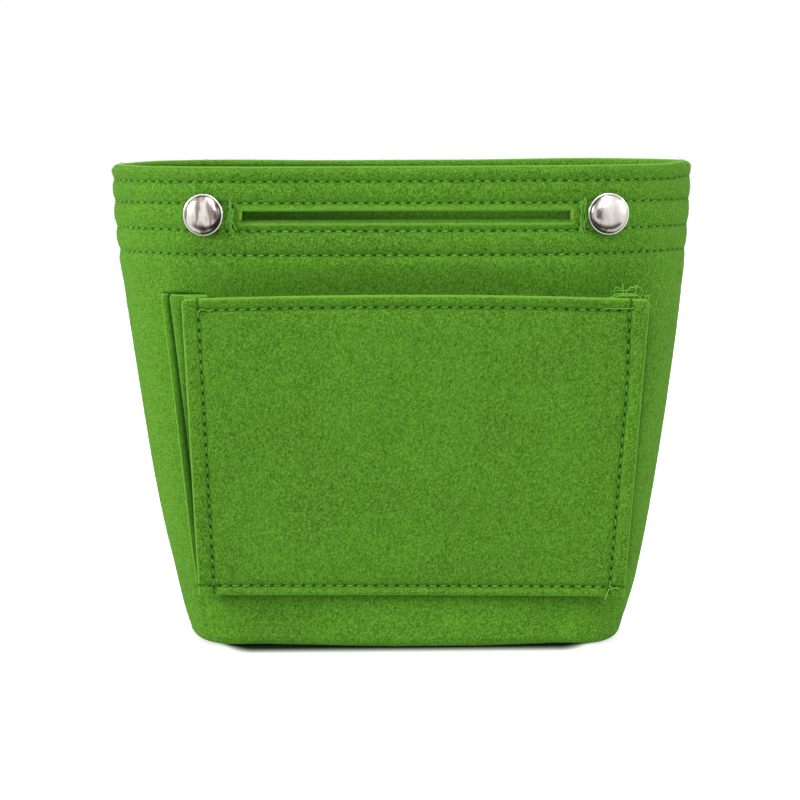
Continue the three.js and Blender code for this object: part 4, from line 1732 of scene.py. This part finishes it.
    def stud(self, side: Side) -> None:
        """Make a stud, a flange with a rounded head."""
        seat = self.back_seat
        head = seat - 2.9
        profile = [(0, head), (1.5, head), (2.1, head + 0.15), (2.45, head + 0.5), (2.45, head + 0.8),
                   (2.2, head + 1.1), (2.2, seat - 1.25), (2.5, seat - 1.0), (5.2, seat - 0.85),
                   (5.6, seat - 0.5), (5.5, seat - 0.1), (5.3, seat), (0, seat)]
        piece = self.lathe(f"stud_{side.label}", profile, self.frame_at(side, Half.BACK), 48)
        self.room.finish_piece(piece, "shell", "snap_metal", (f"snap_stud_{side.label}",))

    def build(self) -> None:
        """Make every snap."""
        for side in Side:
            for half in Half:
                self.cap(side, half)
            self.socket(side)
            self.stud(side)


@dataclass
class FrontPocket:
    """The pocket panel with its sewn border, and the folded gussets that join it to the wall."""

    room: Workroom
    body: FeltBody
    felt: float = FELT_THICKNESS
    bottom: float = 19.3
    top: float = 125.8
    arch: float = 1.2
    top_left: float = 78.6
    top_right: float = 84.8
    bottom_left: float = 74.3
    bottom_right: float = 77.9
    standoff: float = 6.4
    hem_drop: float = 4.2
    side_inset: float = 5.6
    bottom_rise: float = 3.5
    corner: float = 2.2
    gusset_felt: float = 1.4
    gusset_gap: float = 0.12
    gusset_low: float = 22.7
    gusset_high: float = 126.5
    edge_top: float = 86.45
    pleat_top: float = 16.0
    pleat_bottom: float = 6.0
    fold_sag: float = 1.2
    flange: float = 3.3

    def __post_init__(self) -> None:
        """Work out what follows from the sizes."""
        self.edge_low = float(self.room.plan.half_width(np.array(self.gusset_low))) - 8.5

    def share_up(self, z: Array) -> Array:
        """Return the share of the panel's height at a height."""
        return (z - self.bottom) / (self.top - self.bottom)

    def share_across(self, x: Array, z: Array) -> Array:
        """Return the share of the panel's width at a place on it."""
        return (x - self.edge(-1, z)) / (self.edge(1, z) - self.edge(-1, z))

    def edge(self, sign: int, z: Array) -> Array:
        """Return the x of the panel's side edge at a height."""
        low = -self.bottom_left if sign < 0 else self.bottom_right
        high = -self.top_left if sign < 0 else self.top_right
        return blend_between(low, high, self.share_up(z))

    def inset(self, sign: int, z: Array) -> Array:
        """Return how far a side's stitches lie inside its edge, more at the upper right."""
        return self.side_inset + (1.1 * smooth_step(92, 122, z) if sign > 0 else 0.0 * z)

    def inner_y(self, z: Array) -> Array:
        """Return the y of the panel's inner face at a height."""
        plan = self.room.plan
        low = -plan.half_depth(self.bottom) - 0.3
        high = -plan.half_depth(self.top) - self.standoff
        return blend_between(low, high, self.share_up(z))

    def outward(self) -> Array:
        """Return the direction square to the panel."""
        rise = self.top - self.bottom
        lean = float(self.inner_y(self.top) - self.inner_y(self.bottom))
        return unit(np.array([0.0, -rise, lean]))

    def tilt(self, across: Array, up: Array) -> Array:
        """Return how far the panel, sewn on a little askew, drops at a share across and up it."""
        low = 1.35 * across**2 - 0.35 * (1 - across) ** 3
        return blend_between(low, 0.75 * across**3, np.clip(up, 0, 1))

    def face(self, across: Array, up: Array) -> tuple[Array, Array]:
        """Return the panel's x and z, with its upper corners rounded.

        Args:
            across: shares of the panel's width.
            up: shares of its height.

        Returns:
            The x and the z.
        """
        lift = self.arch * bowed(across)
        z = blend_between(self.bottom, self.top + lift, up)
        left, right = self.edge(-1, z), self.edge(1, z)
        x = blend_between(left, right, across)
        from_side = np.minimum(x - left, right - x)
        from_top = self.top + lift - z
        inward = np.maximum(self.corner - from_side, 0)
        downward = np.maximum(self.corner - from_top, 0)
        both = (inward > 0) & (downward > 0)
        length = np.where(both, np.hypot(inward, downward), 1)
        scale = np.where(both, np.maximum(inward, downward) / length, 1)
        x = x + np.where(x - left < right - x, 1, -1) * (inward - inward * scale)
        z = z - (downward - downward * scale)
        return x, z

    def seams(self, x: Array, z: Array) -> Array:
        """Return the seam map of the panel's border stitches.

        Args:
            x: places across the panel.
            z: heights.

        Returns:
            The two values of each point.
        """
        pitch = self.room.pitch
        lift = self.arch * bowed(self.share_across(x, z))
        lines = [(x - self.edge(-1, z) - self.inset(-1, z), z / pitch),
                 (self.edge(1, z) - self.inset(1, z) - x, z / pitch),
                 (z - self.bottom - self.bottom_rise, x / pitch)]
        hem = self.top + lift - self.hem_drop - z
        inside = smooth_step(0, 0.3, np.minimum(lines[0][0], lines[1][0]) + 0.4)
        lines.append((blend_between(FAR_FROM_SEAM, hem, inside), x / pitch))
        gaps = np.stack([line[0] for line in lines], -1)
        nearest = np.abs(gaps).argmin(-1)[..., None]
        along = np.take_along_axis(np.stack([line[1] for line in lines], -1), nearest, -1)[..., 0]
        across = np.take_along_axis(gaps, nearest, -1)[..., 0]
        return np.stack([along, across], -1)

    def panel_out(self, x: Array, z: Array) -> Array:
        """Return how far the panel's outer face stands off its inner one, before its edges are rounded.

        Args:
            x: places across the panel.
            z: heights.

        Returns:
            The distances.
        """
        seam = self.seams(x, z)
        gap = np.abs(seam[..., 1])
        pinch = 0.5 + 0.5 * np.cos(2 * np.pi * seam[..., 0])
        left, right = self.edge(-1, z), self.edge(1, z)
        from_side = np.minimum(x - left, right - x)
        share = (x - left) / (right - left)
        from_top = self.top + self.arch * bowed(share) - z
        border = (from_side < self.side_inset) | (from_top < self.hem_drop)
        border = border | (z < self.bottom + self.bottom_rise)
        puff = np.where(border, 0.8, 0.42) * (1 - np.exp(-((gap / 1.5) ** 1.6)))
        puff = puff - 0.5 * bell(gap, 0.8) - 0.16 * pinch * bell(gap, 1.2)
        swell = 0.35 * np.sin(np.pi * np.clip(share, 0, 1))
        swell = swell + 0.1 * np.sin(x / 11 + z / 17) + 0.08 * np.sin(x / 23 - z / 9)
        crease = 0.35 * bell(z - 117.8 - 0.25 * (x - 80), 0.7) * smooth_step(79.5, 81.5, x)
        return self.felt + puff + swell * (1 - bell(gap, 6)) - crease

    def panel(self) -> bpy.types.Object:
        """Make the pocket panel, with its columns and rows close together at its edges and seams."""
        places = (0, 0.12, 0.3, 0.6, 1, 1.5, 2.2, 3, 3.8, 4.3, 4.7, 5, 5.2, 5.4, 5.7, 6.1, 6.7, 7.5, 8.5)
        width = self.top_right + self.top_left
        sides = [p / width for p in places]
        regular = list(np.linspace(0, 1, 181)[10:-10])
        across = thinned(regular, 0.003, sides + [1 - s for s in sides])
        height = self.top - self.bottom
        low = [0, 0.12, 0.3, 0.6, 1.0, 1.6, 2.3, 2.8, 3.2, 3.5, 3.8, 4.2, 4.8, 5.6, 6.8]
        high = [0, 0.12, 0.3, 0.6, 1.0, 1.6, 2.3, 3.0, 3.5, 3.9, 4.2, 4.5, 4.9, 5.4, 6.2, 7.2]
        kept = [p / height for p in low] + [1 - p / height for p in high]
        up = thinned(list(np.linspace(0.075, 0.925, 100)), 0.004, kept)
        up, across = np.meshgrid(up, across, indexing="ij")
        x, z = self.face(across, up)
        flat_x = blend_between(self.edge(-1, z), self.edge(1, z), across)
        from_edge = np.minimum(np.minimum(across, 1 - across) * width, np.minimum(up, 1 - up) * height)
        out = self.panel_out(flat_x, z)
        outer_y = self.inner_y(z) - out + edge_drop(from_edge, 1.2)
        inner_y = self.inner_y(z) - edge_drop(from_edge, 0.6)
        level = z - self.tilt(across, up)
        outer = np.stack([x, outer_y, level], -1)
        inner = np.stack([x, inner_y, level], -1)
        # Painted highlight along the panel's cut edges.
        sheet = Sheet(outer, inner, self.seams(flat_x, z), cut=from_edge * 1.1)
        piece = sheet.build("pocket_panel_felt", self.room.finishes.felt)
        return self.room.finish_piece(piece, "pocket", "felt_green", ("pocket_panel",))

    def run(self, name: str, x: Array, z: Array, seed: int, node: str) -> None:
        """Sew a run of stitches on the panel.

        Args:
            name: the piece's name.
            x: the places of the stitches across the panel.
            z: their heights.
            seed: the seed of their small turns.
            node: the solid that they stand for.
        """
        y = self.inner_y(z) - self.felt + 0.28
        level = z - self.tilt(self.share_across(x, z), self.share_up(z))
        places = np.stack(np.broadcast_arrays(x, y, level), -1)
        outward = np.tile(self.outward(), (len(places), 1))
        piece = self.room.stitches(name, places, outward, seed)
        self.room.finish_piece(piece, "pocket", "thread_green", (node,))

    def stitching(self) -> None:
        """Sew the panel's border."""
        pitch = self.room.pitch
        hem_level, foot_level = self.top - self.hem_drop, self.bottom + self.bottom_rise
        for side in Side:
            z = stitch_places(foot_level - 1.5, self.top - 2.2, pitch)
            x = self.edge(side.value, z) - side.value * self.inset(side.value, z)
            name, node = f"pocket_side_stitches_{side.label}", f"pocket_side_stitching_{side.label}"
            self.run(name, x, z, 51 + side.value, node)
        for word, level, arch, seed in (("hem", hem_level, self.arch, 55), ("bottom", foot_level, 0.0, 56)):
            left, right = float(self.edge(-1, level)), float(self.edge(1, level))
            x = stitch_places(left + self.side_inset + 1, right - self.side_inset - 1, pitch)
            z = level + arch * bowed(self.share_across(x, level))
            self.run(f"pocket_{word}_stitches", x, z, seed, f"pocket_{word}_stitching")
        self.back_tack()

    def back_tack(self) -> None:
        """Make the hem's second run of thread and the thread ends, as x, z and a distance off the panel."""
        hem = self.top - self.hem_drop
        lines = [[(68.4 + 1.3 * k, hem + 0.55 - 0.35 * (k % 2), 0.15 + 0.35 * (k % 2)) for k in range(9)],
                 [(-73.2, hem - 0.8, -0.1), (-72.0, hem + 0.9, 0.6), (-70.2, hem + 0.4, 0.45),
                  (-68.6, hem - 0.2, -0.2)],
                 [(72.2, 22.0, 0.3), (73.0, 21.5, 0.8), (73.6, 21.0, 0.5), (72.8, 20.6, 0.7)],
                 [(72.4, 21.2, 0.5), (71.6, 19.6, 0.8), (71.2, 18.2, 0.8), (70.9, 17.0, 0.7)],
                 [(73.4, 21.2, 0.4), (74.6, 21.6, 0.6), (75.8, 21.0, 0.5)]]
        threads = [[(x, float(self.inner_y(z)) - self.felt - out, z) for x, z, out in line] for line in lines]
        piece = thread_object("pocket_thread_ends", threads, 0.2, self.room.finishes.loose_thread)
        self.room.finish_piece(piece, "pocket", "thread_green")

    def gusset_share(self, z: Array) -> Array:
        """Return the share of the gussets' height at a height."""
        return (z - self.gusset_low) / (self.gusset_high - self.gusset_low)

    def gusset_edge(self, z: Array) -> Array:
        """Return how far out the gusset's edge on the wall lies at a height."""
        return blend_between(self.edge_low, self.edge_top, self.gusset_share(z))

    def gusset_fold(self, z: Array) -> Array:
        """Return how far out the gusset's inner fold lies at a height."""
        share = self.gusset_share(z)
        pleat = blend_between(self.pleat_bottom, self.pleat_top, share)
        return self.gusset_edge(z) - pleat + 4 * self.fold_sag * share * (1 - share)

    def gusset_line(self, side: Side, z: float) -> Array:
        """Return the middle line of a gusset at a height, from the wall round the fold to the panel.

        Args:
            side: the gusset's side.
            z: the height.

        Returns:
            The line's bends.
        """
        plan, sign = self.room.plan, side.value
        share = self.gusset_share(z)
        lift = self.gusset_gap + self.gusset_felt / 2
        edge, fold = float(self.gusset_edge(z)), float(self.gusset_fold(z))
        panel_edge = abs(float(self.edge(sign, z))) - 0.8

        def on_wall(x: float, extra: float = 0.0) -> Array:
            """Return a point over the wall's own uneven face."""
            turn = plan.turn_at(z, sign * x)
            level, length = np.array([z]), np.array([self.room.ruler.lengths(turn)])
            out = float(self.body.relief(level, length, np.array([sign * x]), True)[0])
            return plan.offset(z, turn, out + lift + extra)

        def on_panel(x: float) -> Array:
            """Return a point behind the panel."""
            return np.array([sign * x, float(self.inner_y(z)) + lift, z])

        inner = blend_between(fold, panel_edge, 0.3)
        near_wall, near_panel = on_wall(inner), on_panel(inner)
        tip = blend_between(near_wall, near_panel, 0.5) * [0, 1, 1] + [sign * fold, 0, 0]
        puff = 2.8 * share
        flange = self.flange
        over = ((edge, 0.0), (edge - 0.35 * flange, 0.25), (edge - 0.75 * flange, 0.1), (edge - flange, -0.3),
                (edge - 1.4 * flange, 0.3 + 0.6 * puff),
                (blend_between(edge - flange, fold, 0.3), 0.3 + puff),
                (blend_between(edge, fold, 0.6), 0.8 * puff))
        behind = (blend_between(panel_edge, fold, 0.5), panel_edge)
        return np.array([*(on_wall(*place) for place in over), near_wall, tip, near_panel,
                         *(on_panel(x) for x in behind)])

    def gusset_rings(self, side: Side, levels: Array) -> Array:
        """Return the middle surface of a gusset.

        Args:
            side: the gusset's side.
            levels: the heights of its lines.

        Returns:
            A line of points for each height. At the right its top drops on both sides of the fold.
        """
        rings = np.stack([rounded_line(self.gusset_line(side, float(z)), 84) for z in levels])
        if side is Side.RIGHT:
            beside_fold = 1 - plateau(rings[..., 0], 72, 74.5, 80.5, 82.5)
            rings[..., 2] -= 1.3 * beside_fold * smooth_step(118, 126.5, rings[..., 2])
        return rings

    def gusset_shade(self, reach: Array, height: Array) -> Array:
        """Return the depth of shade in a gusset.

        Args:
            reach: lengths along its folded line, from its edge on the wall.
            height: heights.

        Returns:
            The shade, which is deeper in the fold and toward the foot.
        """
        past = reach - self.flange
        low = 1 - smooth_step(72, 108, height)
        fold = smooth_step(0.6, 4.5, past) * (0.15 + 0.7 * low)
        strip = smooth_step(0.5, 1.2, reach) * (0.24 + 0.34 * low) * (past < 0.8)
        return np.maximum(fold, np.maximum(strip, smooth_step(1.0, 3.2, reach) * 0.8 * low))

    def gusset(self, side: Side) -> None:
        """Make a folded gusset, which reaches from the wall round its fold to the panel.

        Args:
            side: the gusset's side.
        """
        low, high = self.gusset_low, self.gusset_high
        kept = [low, low + 0.3, low + 0.7, high - 0.7, high - 0.3, high]
        levels = thinned(list(np.linspace(low, high, 60)[1:-1]), 0.2, kept)
        rings = self.gusset_rings(side, levels)
        along = unit(np.gradient(rings, axis=1))
        across = np.stack([along[..., 1], -along[..., 0], np.zeros(along.shape[:2])], -1)
        steps = np.linalg.norm(np.diff(rings, axis=1), axis=-1)
        reach = np.concatenate([np.zeros((len(levels), 1)), np.cumsum(steps, 1)], 1)
        ends = np.minimum(reach, reach[:, -1:] - reach)
        height = levels[:, None]
        ends = np.minimum(ends, np.minimum(height - low, high - height))
        half = self.gusset_felt / 2 - np.minimum(edge_drop(ends, 0.4), 0.4)
        one, other = rings + across * half[..., None], rings - across * half[..., None]
        seam = np.stack([np.broadcast_to(height / self.room.pitch, reach.shape), reach - self.flange], -1)
        outer, inner = (other, one) if side is Side.LEFT else (one, other)
        if np.sum((outer - inner)[:, 2, 1]) > 0:
            outer, inner = inner, outer
        shade = self.gusset_shade(reach, height)
        # Painted highlight along the gusset's edges, and painted shade in its fold.
        sheet = Sheet(outer, inner, seam, cut=np.minimum(ends * 1.5, reach * 0.8), shade=shade)
        piece = sheet.build(f"gusset_{side.label}_felt", self.room.finishes.pleat)
        top = self.gusset_high
        behind = -float(self.room.plan.half_depth(top)) - self.gusset_felt - self.gusset_gap
        before = float(self.inner_y(top)) + self.gusset_gap
        start, end = (0.0, behind + 0.2, top), (0.0, before + 0.9, top - 0.1)
        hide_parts(f"gusset_{side.label}")
        tuple(v * MM for v in start)
        tuple(v * MM for v in end)
        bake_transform(piece)
        lengths = reach[:, -1]
        flat = (float(lengths.max()) * MM, (high - low) * MM)
        log.info("%s: %d faces", piece.name, len(piece.data.polygons))

    def gusset_stitching(self, side: Side) -> None:
        """Sew the gusset's flange to the wall.

        Args:
            side: the gusset's side.
        """
        plan = self.room.plan
        z = stitch_places(self.gusset_low + 1, self.gusset_high - 1, self.room.pitch)
        turn = plan.turn_at(z, side.value * (self.gusset_edge(z) - self.flange))
        out = self.body.relief(z, self.room.ruler.lengths(turn), plan.point(z, turn)[..., 0], True)
        places = plan.offset(z, turn, out + self.gusset_gap + self.gusset_felt - 0.45)
        facing = plan.outward(z, turn)
        piece = self.room.stitches(f"gusset_stitches_{side.label}", places, facing, 60 + side.value, True)
        self.room.finish_piece(piece, "shell", "thread_green", (f"gusset_stitching_{side.label}",))

    def frayed_threads(self) -> None:
        """Make the frayed threads at the top of the right gusset, as x, z and a distance before the wall."""
        lines = [[(73.0, 126.6, 1.2), (72.6, 128.2, 1.8), (74.0, 129.2, 1.7), (75.2, 128.3, 1.6)],
                 [(75.8, 125.8, 1.6), (76.0, 128.0, 1.8), (75.8, 130.2, 1.7)],
                 [(77.0, 127.0, 1.6), (78.4, 129.0, 1.6), (80.0, 128.8, 1.8), (81.2, 129.9, 1.7)],
                 [(80.6, 126.8, 1.4), (80.0, 128.6, 1.8), (81.4, 129.4, 2.0), (82.6, 128.2, 1.6)],
                 [(71.4, 127.2, 1.0), (73.4, 127.9, 1.6), (76.6, 127.6, 1.6), (79.6, 128.0, 1.5)],
                 [(82.0, 127.4, 0.6), (83.2, 128.2, 0.9), (83.0, 126.4, 0.9), (82.2, 125.2, 0.4)]]
        threads = [[(x, -43.6 - forward, z) for x, z, forward in line] for line in lines]
        piece = thread_object("gusset_fray_right", threads, 0.2, self.room.finishes.loose_thread)
        self.room.finish_piece(piece, "shell", "thread_green")

    def build(self) -> None:
        """Make every piece of the pocket."""
        panel = self.panel()
        self.room.finish_piece(self.room.fuzz_on(panel, 31), "pocket", "felt_green")
        self.stitching()
        for side in Side:
            self.gusset(side)
            self.gusset_stitching(side)
        self.frayed_threads()


def rounded_line(points: Array, count: int) -> Array:
    """Return a smooth line through points, with its steps equal.

    Args:
        points: the points.
        count: the number of points wanted.

    Returns:
        The line's points.
    """
    padded = np.concatenate([[2 * points[0] - points[1]], points, [2 * points[-1] - points[-2]]])
    knots = np.concatenate([[0], np.cumsum(np.linalg.norm(np.diff(padded, axis=0), axis=1) ** 0.5)])
    pieces = []
    for i in range(1, len(padded) - 2):
        t = np.linspace(knots[i], knots[i + 1], 24, endpoint=False)[:, None]
        t0, t1, t2, t3 = knots[i - 1 : i + 3]
        p0, p1, p2, p3 = padded[i - 1 : i + 3]
        a1 = (t1 - t) / (t1 - t0) * p0 + (t - t0) / (t1 - t0) * p1
        a2 = (t2 - t) / (t2 - t1) * p1 + (t - t1) / (t2 - t1) * p2
        a3 = (t3 - t) / (t3 - t2) * p2 + (t - t2) / (t3 - t2) * p3
        b1 = (t2 - t) / (t2 - t0) * a1 + (t - t0) / (t2 - t0) * a2
        b2 = (t3 - t) / (t3 - t1) * a2 + (t - t1) / (t3 - t1) * a3
        pieces.append((t2 - t) / (t2 - t1) * b1 + (t - t1) / (t2 - t1) * b2)
    line = np.concatenate([*pieces, padded[-2:-1]])
    sums = np.concatenate([[0], np.cumsum(np.linalg.norm(np.diff(line, axis=0), axis=1))])
    wanted = np.linspace(0, sums[-1], count)
    return np.stack([np.interp(wanted, sums, line[:, k]) for k in range(3)], -1)


@dataclass(frozen=True)
class Studio:
    """The pale floor, the soft lights, the white surroundings and the camera."""

    eye: Point = (-24.4, -801.3, 185.1)
    pitch: float = 0.12582
    yaw: float = 0.02895
    roll: float = -0.00132
    focal_pixels: float = 2162.4
    frame_pixels: float = 800.0
    sensor: float = 36.0
    lamps: tuple[tuple[str, Point, float, float], ...] = (
        ("lamp_left", (-1.9, -0.5, 0.85), 0.7, 29.5),
        ("lamp_right", (1.8, -0.6, 0.8), 0.9, 12),
        ("lamp_front", (0.15, -1.35, 1.0), 0.9, 4.3),
        ("lamp_top", (0.1, -0.45, 1.9), 0.9, 13.5),
        ("lamp_back", (0.2, 1.7, 1.0), 1.0, 10),
    )

    def camera(self) -> None:
        """Set the camera at the photograph's viewpoint."""
        data = bpy.data.cameras.new("camera")
        data.sensor_width = self.sensor
        data.lens = self.focal_pixels / self.frame_pixels * self.sensor
        data.clip_start, data.clip_end = 0.05, 50
        view = in_scene("camera", data)
        level, drop = math.cos(self.pitch), math.sin(self.pitch)
        forward = Vector((math.sin(self.yaw) * level, math.cos(self.yaw) * level, -drop))
        right = Vector((math.cos(self.yaw), -math.sin(self.yaw), 0))
        up = right.cross(forward)
        turned_right = right * math.cos(self.roll) + up * math.sin(self.roll)
        turned_up = up * math.cos(self.roll) - right * math.sin(self.roll)
        turn = Matrix((turned_right, turned_up, -forward)).transposed().to_4x4()
        view.matrix_world = Matrix.Translation(Vector(self.eye) * MM) @ turn
        bpy.context.scene.camera = view

    def surroundings(self) -> None:
        """Make the world white to the camera and in reflections, and a plain soft fill otherwise."""
        world = bpy.data.worlds.new("surroundings")
        sheet = blank_sheet(world)
        path = sheet.node("ShaderNodeLightPath")
        seen = sheet.math("MAXIMUM", path.outputs["Is Camera Ray"], path.outputs["Is Glossy Ray"])
        seen = sheet.math("MAXIMUM", seen, path.outputs["Is Transmission Ray"])
        fill, white = (sheet.node("ShaderNodeBackground", None, {"Color": (1, 1, 1), "Strength": strength})
                       for strength in (0.18, 1.0))
        mixed = sheet.node("ShaderNodeMixShader", None, {0: seen, 1: fill, 2: white})
        sheet.node("ShaderNodeOutputWorld", None, {"Surface": mixed})
        bpy.context.scene.world = world

    def floor(self) -> None:
        """Lay a floor that is white to the camera, keeps the real shadow round the foot and has a contact
        shadow painted round it, in a darker colour and a weaker glow.
        """
        material = bpy.data.materials.new("floor_white")
        sheet = blank_sheet(material)
        path = sheet.node("ShaderNodeLightPath").outputs
        across, deep, _ = sheet.parts(sheet.value("ShaderNodeTexCoord", None, None, "Object"))
        beside = sheet.math("MAXIMUM", abs(across) - 0.0545, 0.0) * 2.1
        before = sheet.math("MAXIMUM", abs(deep) - 0.0225, 0.0)
        away = sheet.math("SQRT", beside * beside + before * before)
        # Painted contact shadow: close to the foot the glow fades and the colour darkens.
        strength = away.rise(0.0238, 0.0325) * 0.6 + away.rise(0.033, 0.070) * 0.4
        glow = sheet.node("ShaderNodeEmission", None, {"Color": (1, 1, 1), "Strength": strength})
        contact_shadow_tone = sheet.mix(away.rise(0.0205, 0.030), (0.010, 0.02, 0.008), (0.60, 0.61, 0.59))
        matt = sheet.node("ShaderNodeBsdfDiffuse", None, {"Color": contact_shadow_tone})
        shown = sheet.node("ShaderNodeAddShader", None, {0: glow, 1: matt})
        plain = sheet.node("ShaderNodeBsdfDiffuse", None, {"Color": (0.72, 0.72, 0.72)})
        bright = sheet.node("ShaderNodeEmission", None, {"Color": (1, 1, 1), "Strength": 0.9})
        mixed = sheet.node("ShaderNodeMixShader", None, {0: path["Is Camera Ray"], 1: plain, 2: shown})
        mixed = sheet.node("ShaderNodeMixShader", None, {0: path["Is Glossy Ray"], 1: mixed, 2: bright})
        sheet.node("ShaderNodeOutputMaterial", None, {"Surface": mixed})
        self.board("floor", [(-6, -6, 0), (6, -6, 0), (6, 6, 0), (-6, 6, 0)], material)

    def board(self, name: str, corners: list[Point], material: bpy.types.Material) -> bpy.types.Object:
        """Set up a flat board that belongs to the studio.

        Args:
            name: the board's name.
            corners: its four corners.
            material: its finish.

        Returns:
            The board.
        """
        mesh = bpy.data.meshes.new(name)
        mesh.from_pydata(corners, [], [(0, 1, 2, 3)])
        mesh.materials.append(material)
        board = in_scene(name, mesh)
        return board

    def lamp(self, name: str, place: Point, size: float, power: float) -> None:
        """Hang a square soft lamp that points at the object.

        Args:
            name: the lamp's name.
            place: where it hangs.
            size: the length of its sides.
            power: its power in watts.
        """
        data = bpy.data.lights.new(name, "AREA")
        data.shape, data.size, data.energy = "SQUARE", size, power
        lamp = in_scene(name, data)
        lamp.location = place
        lamp.rotation_euler = (Vector((0, 0, 0.09)) - Vector(place)).to_track_quat("-Z", "Y").to_euler()

    def cards(self) -> None:
        """Set up two dark cards that only the metal reflects."""
        material = bpy.data.materials.new("card_dark")
        sheet = blank_sheet(material)
        glow = sheet.node("ShaderNodeEmission", None, {"Color": (0.075, 0.05, 0.042), "Strength": 1.0})
        sheet.node("ShaderNodeOutputMaterial", None, {"Surface": glow})
        front = [(-0.10, -0.5, 0.03), (0.13, -0.5, 0.03), (0.13, -0.5, 0.27), (-0.10, -0.5, 0.27)]
        low = [(-0.4, -0.30, 0.002), (0.4, -0.30, 0.002), (0.4, -0.13, 0.002), (-0.4, -0.13, 0.002)]
        for name, corners in (("card_front", front), ("card_low", low)):
            card = self.board(name, corners, material)
            card.visible_camera = card.visible_diffuse = card.visible_shadow = False
            card.visible_transmission = False

    def build(self) -> None:
        """Set up the whole studio."""
        self.camera()
        self.surroundings()
        self.floor()
        self.cards()
        for lamp in self.lamps:
            self.lamp(*lamp)
        bpy.context.scene.view_settings.view_transform = "Standard"


def main() -> None:
    """Make the organizer and its studio."""
    plan = Plan()
    stitch, fuzz = StitchKit(), FuzzKit()
    room = Workroom(plan, Ruler(plan), Finishes.make(), stitch, stitch.tree(), fuzz, fuzz.tree())
    body = FeltBody(room)
    body.build()
    Snaps(room).build()
    FrontPocket(room, body).build()
    Studio().build()


if __name__ == "__main__":
    main()
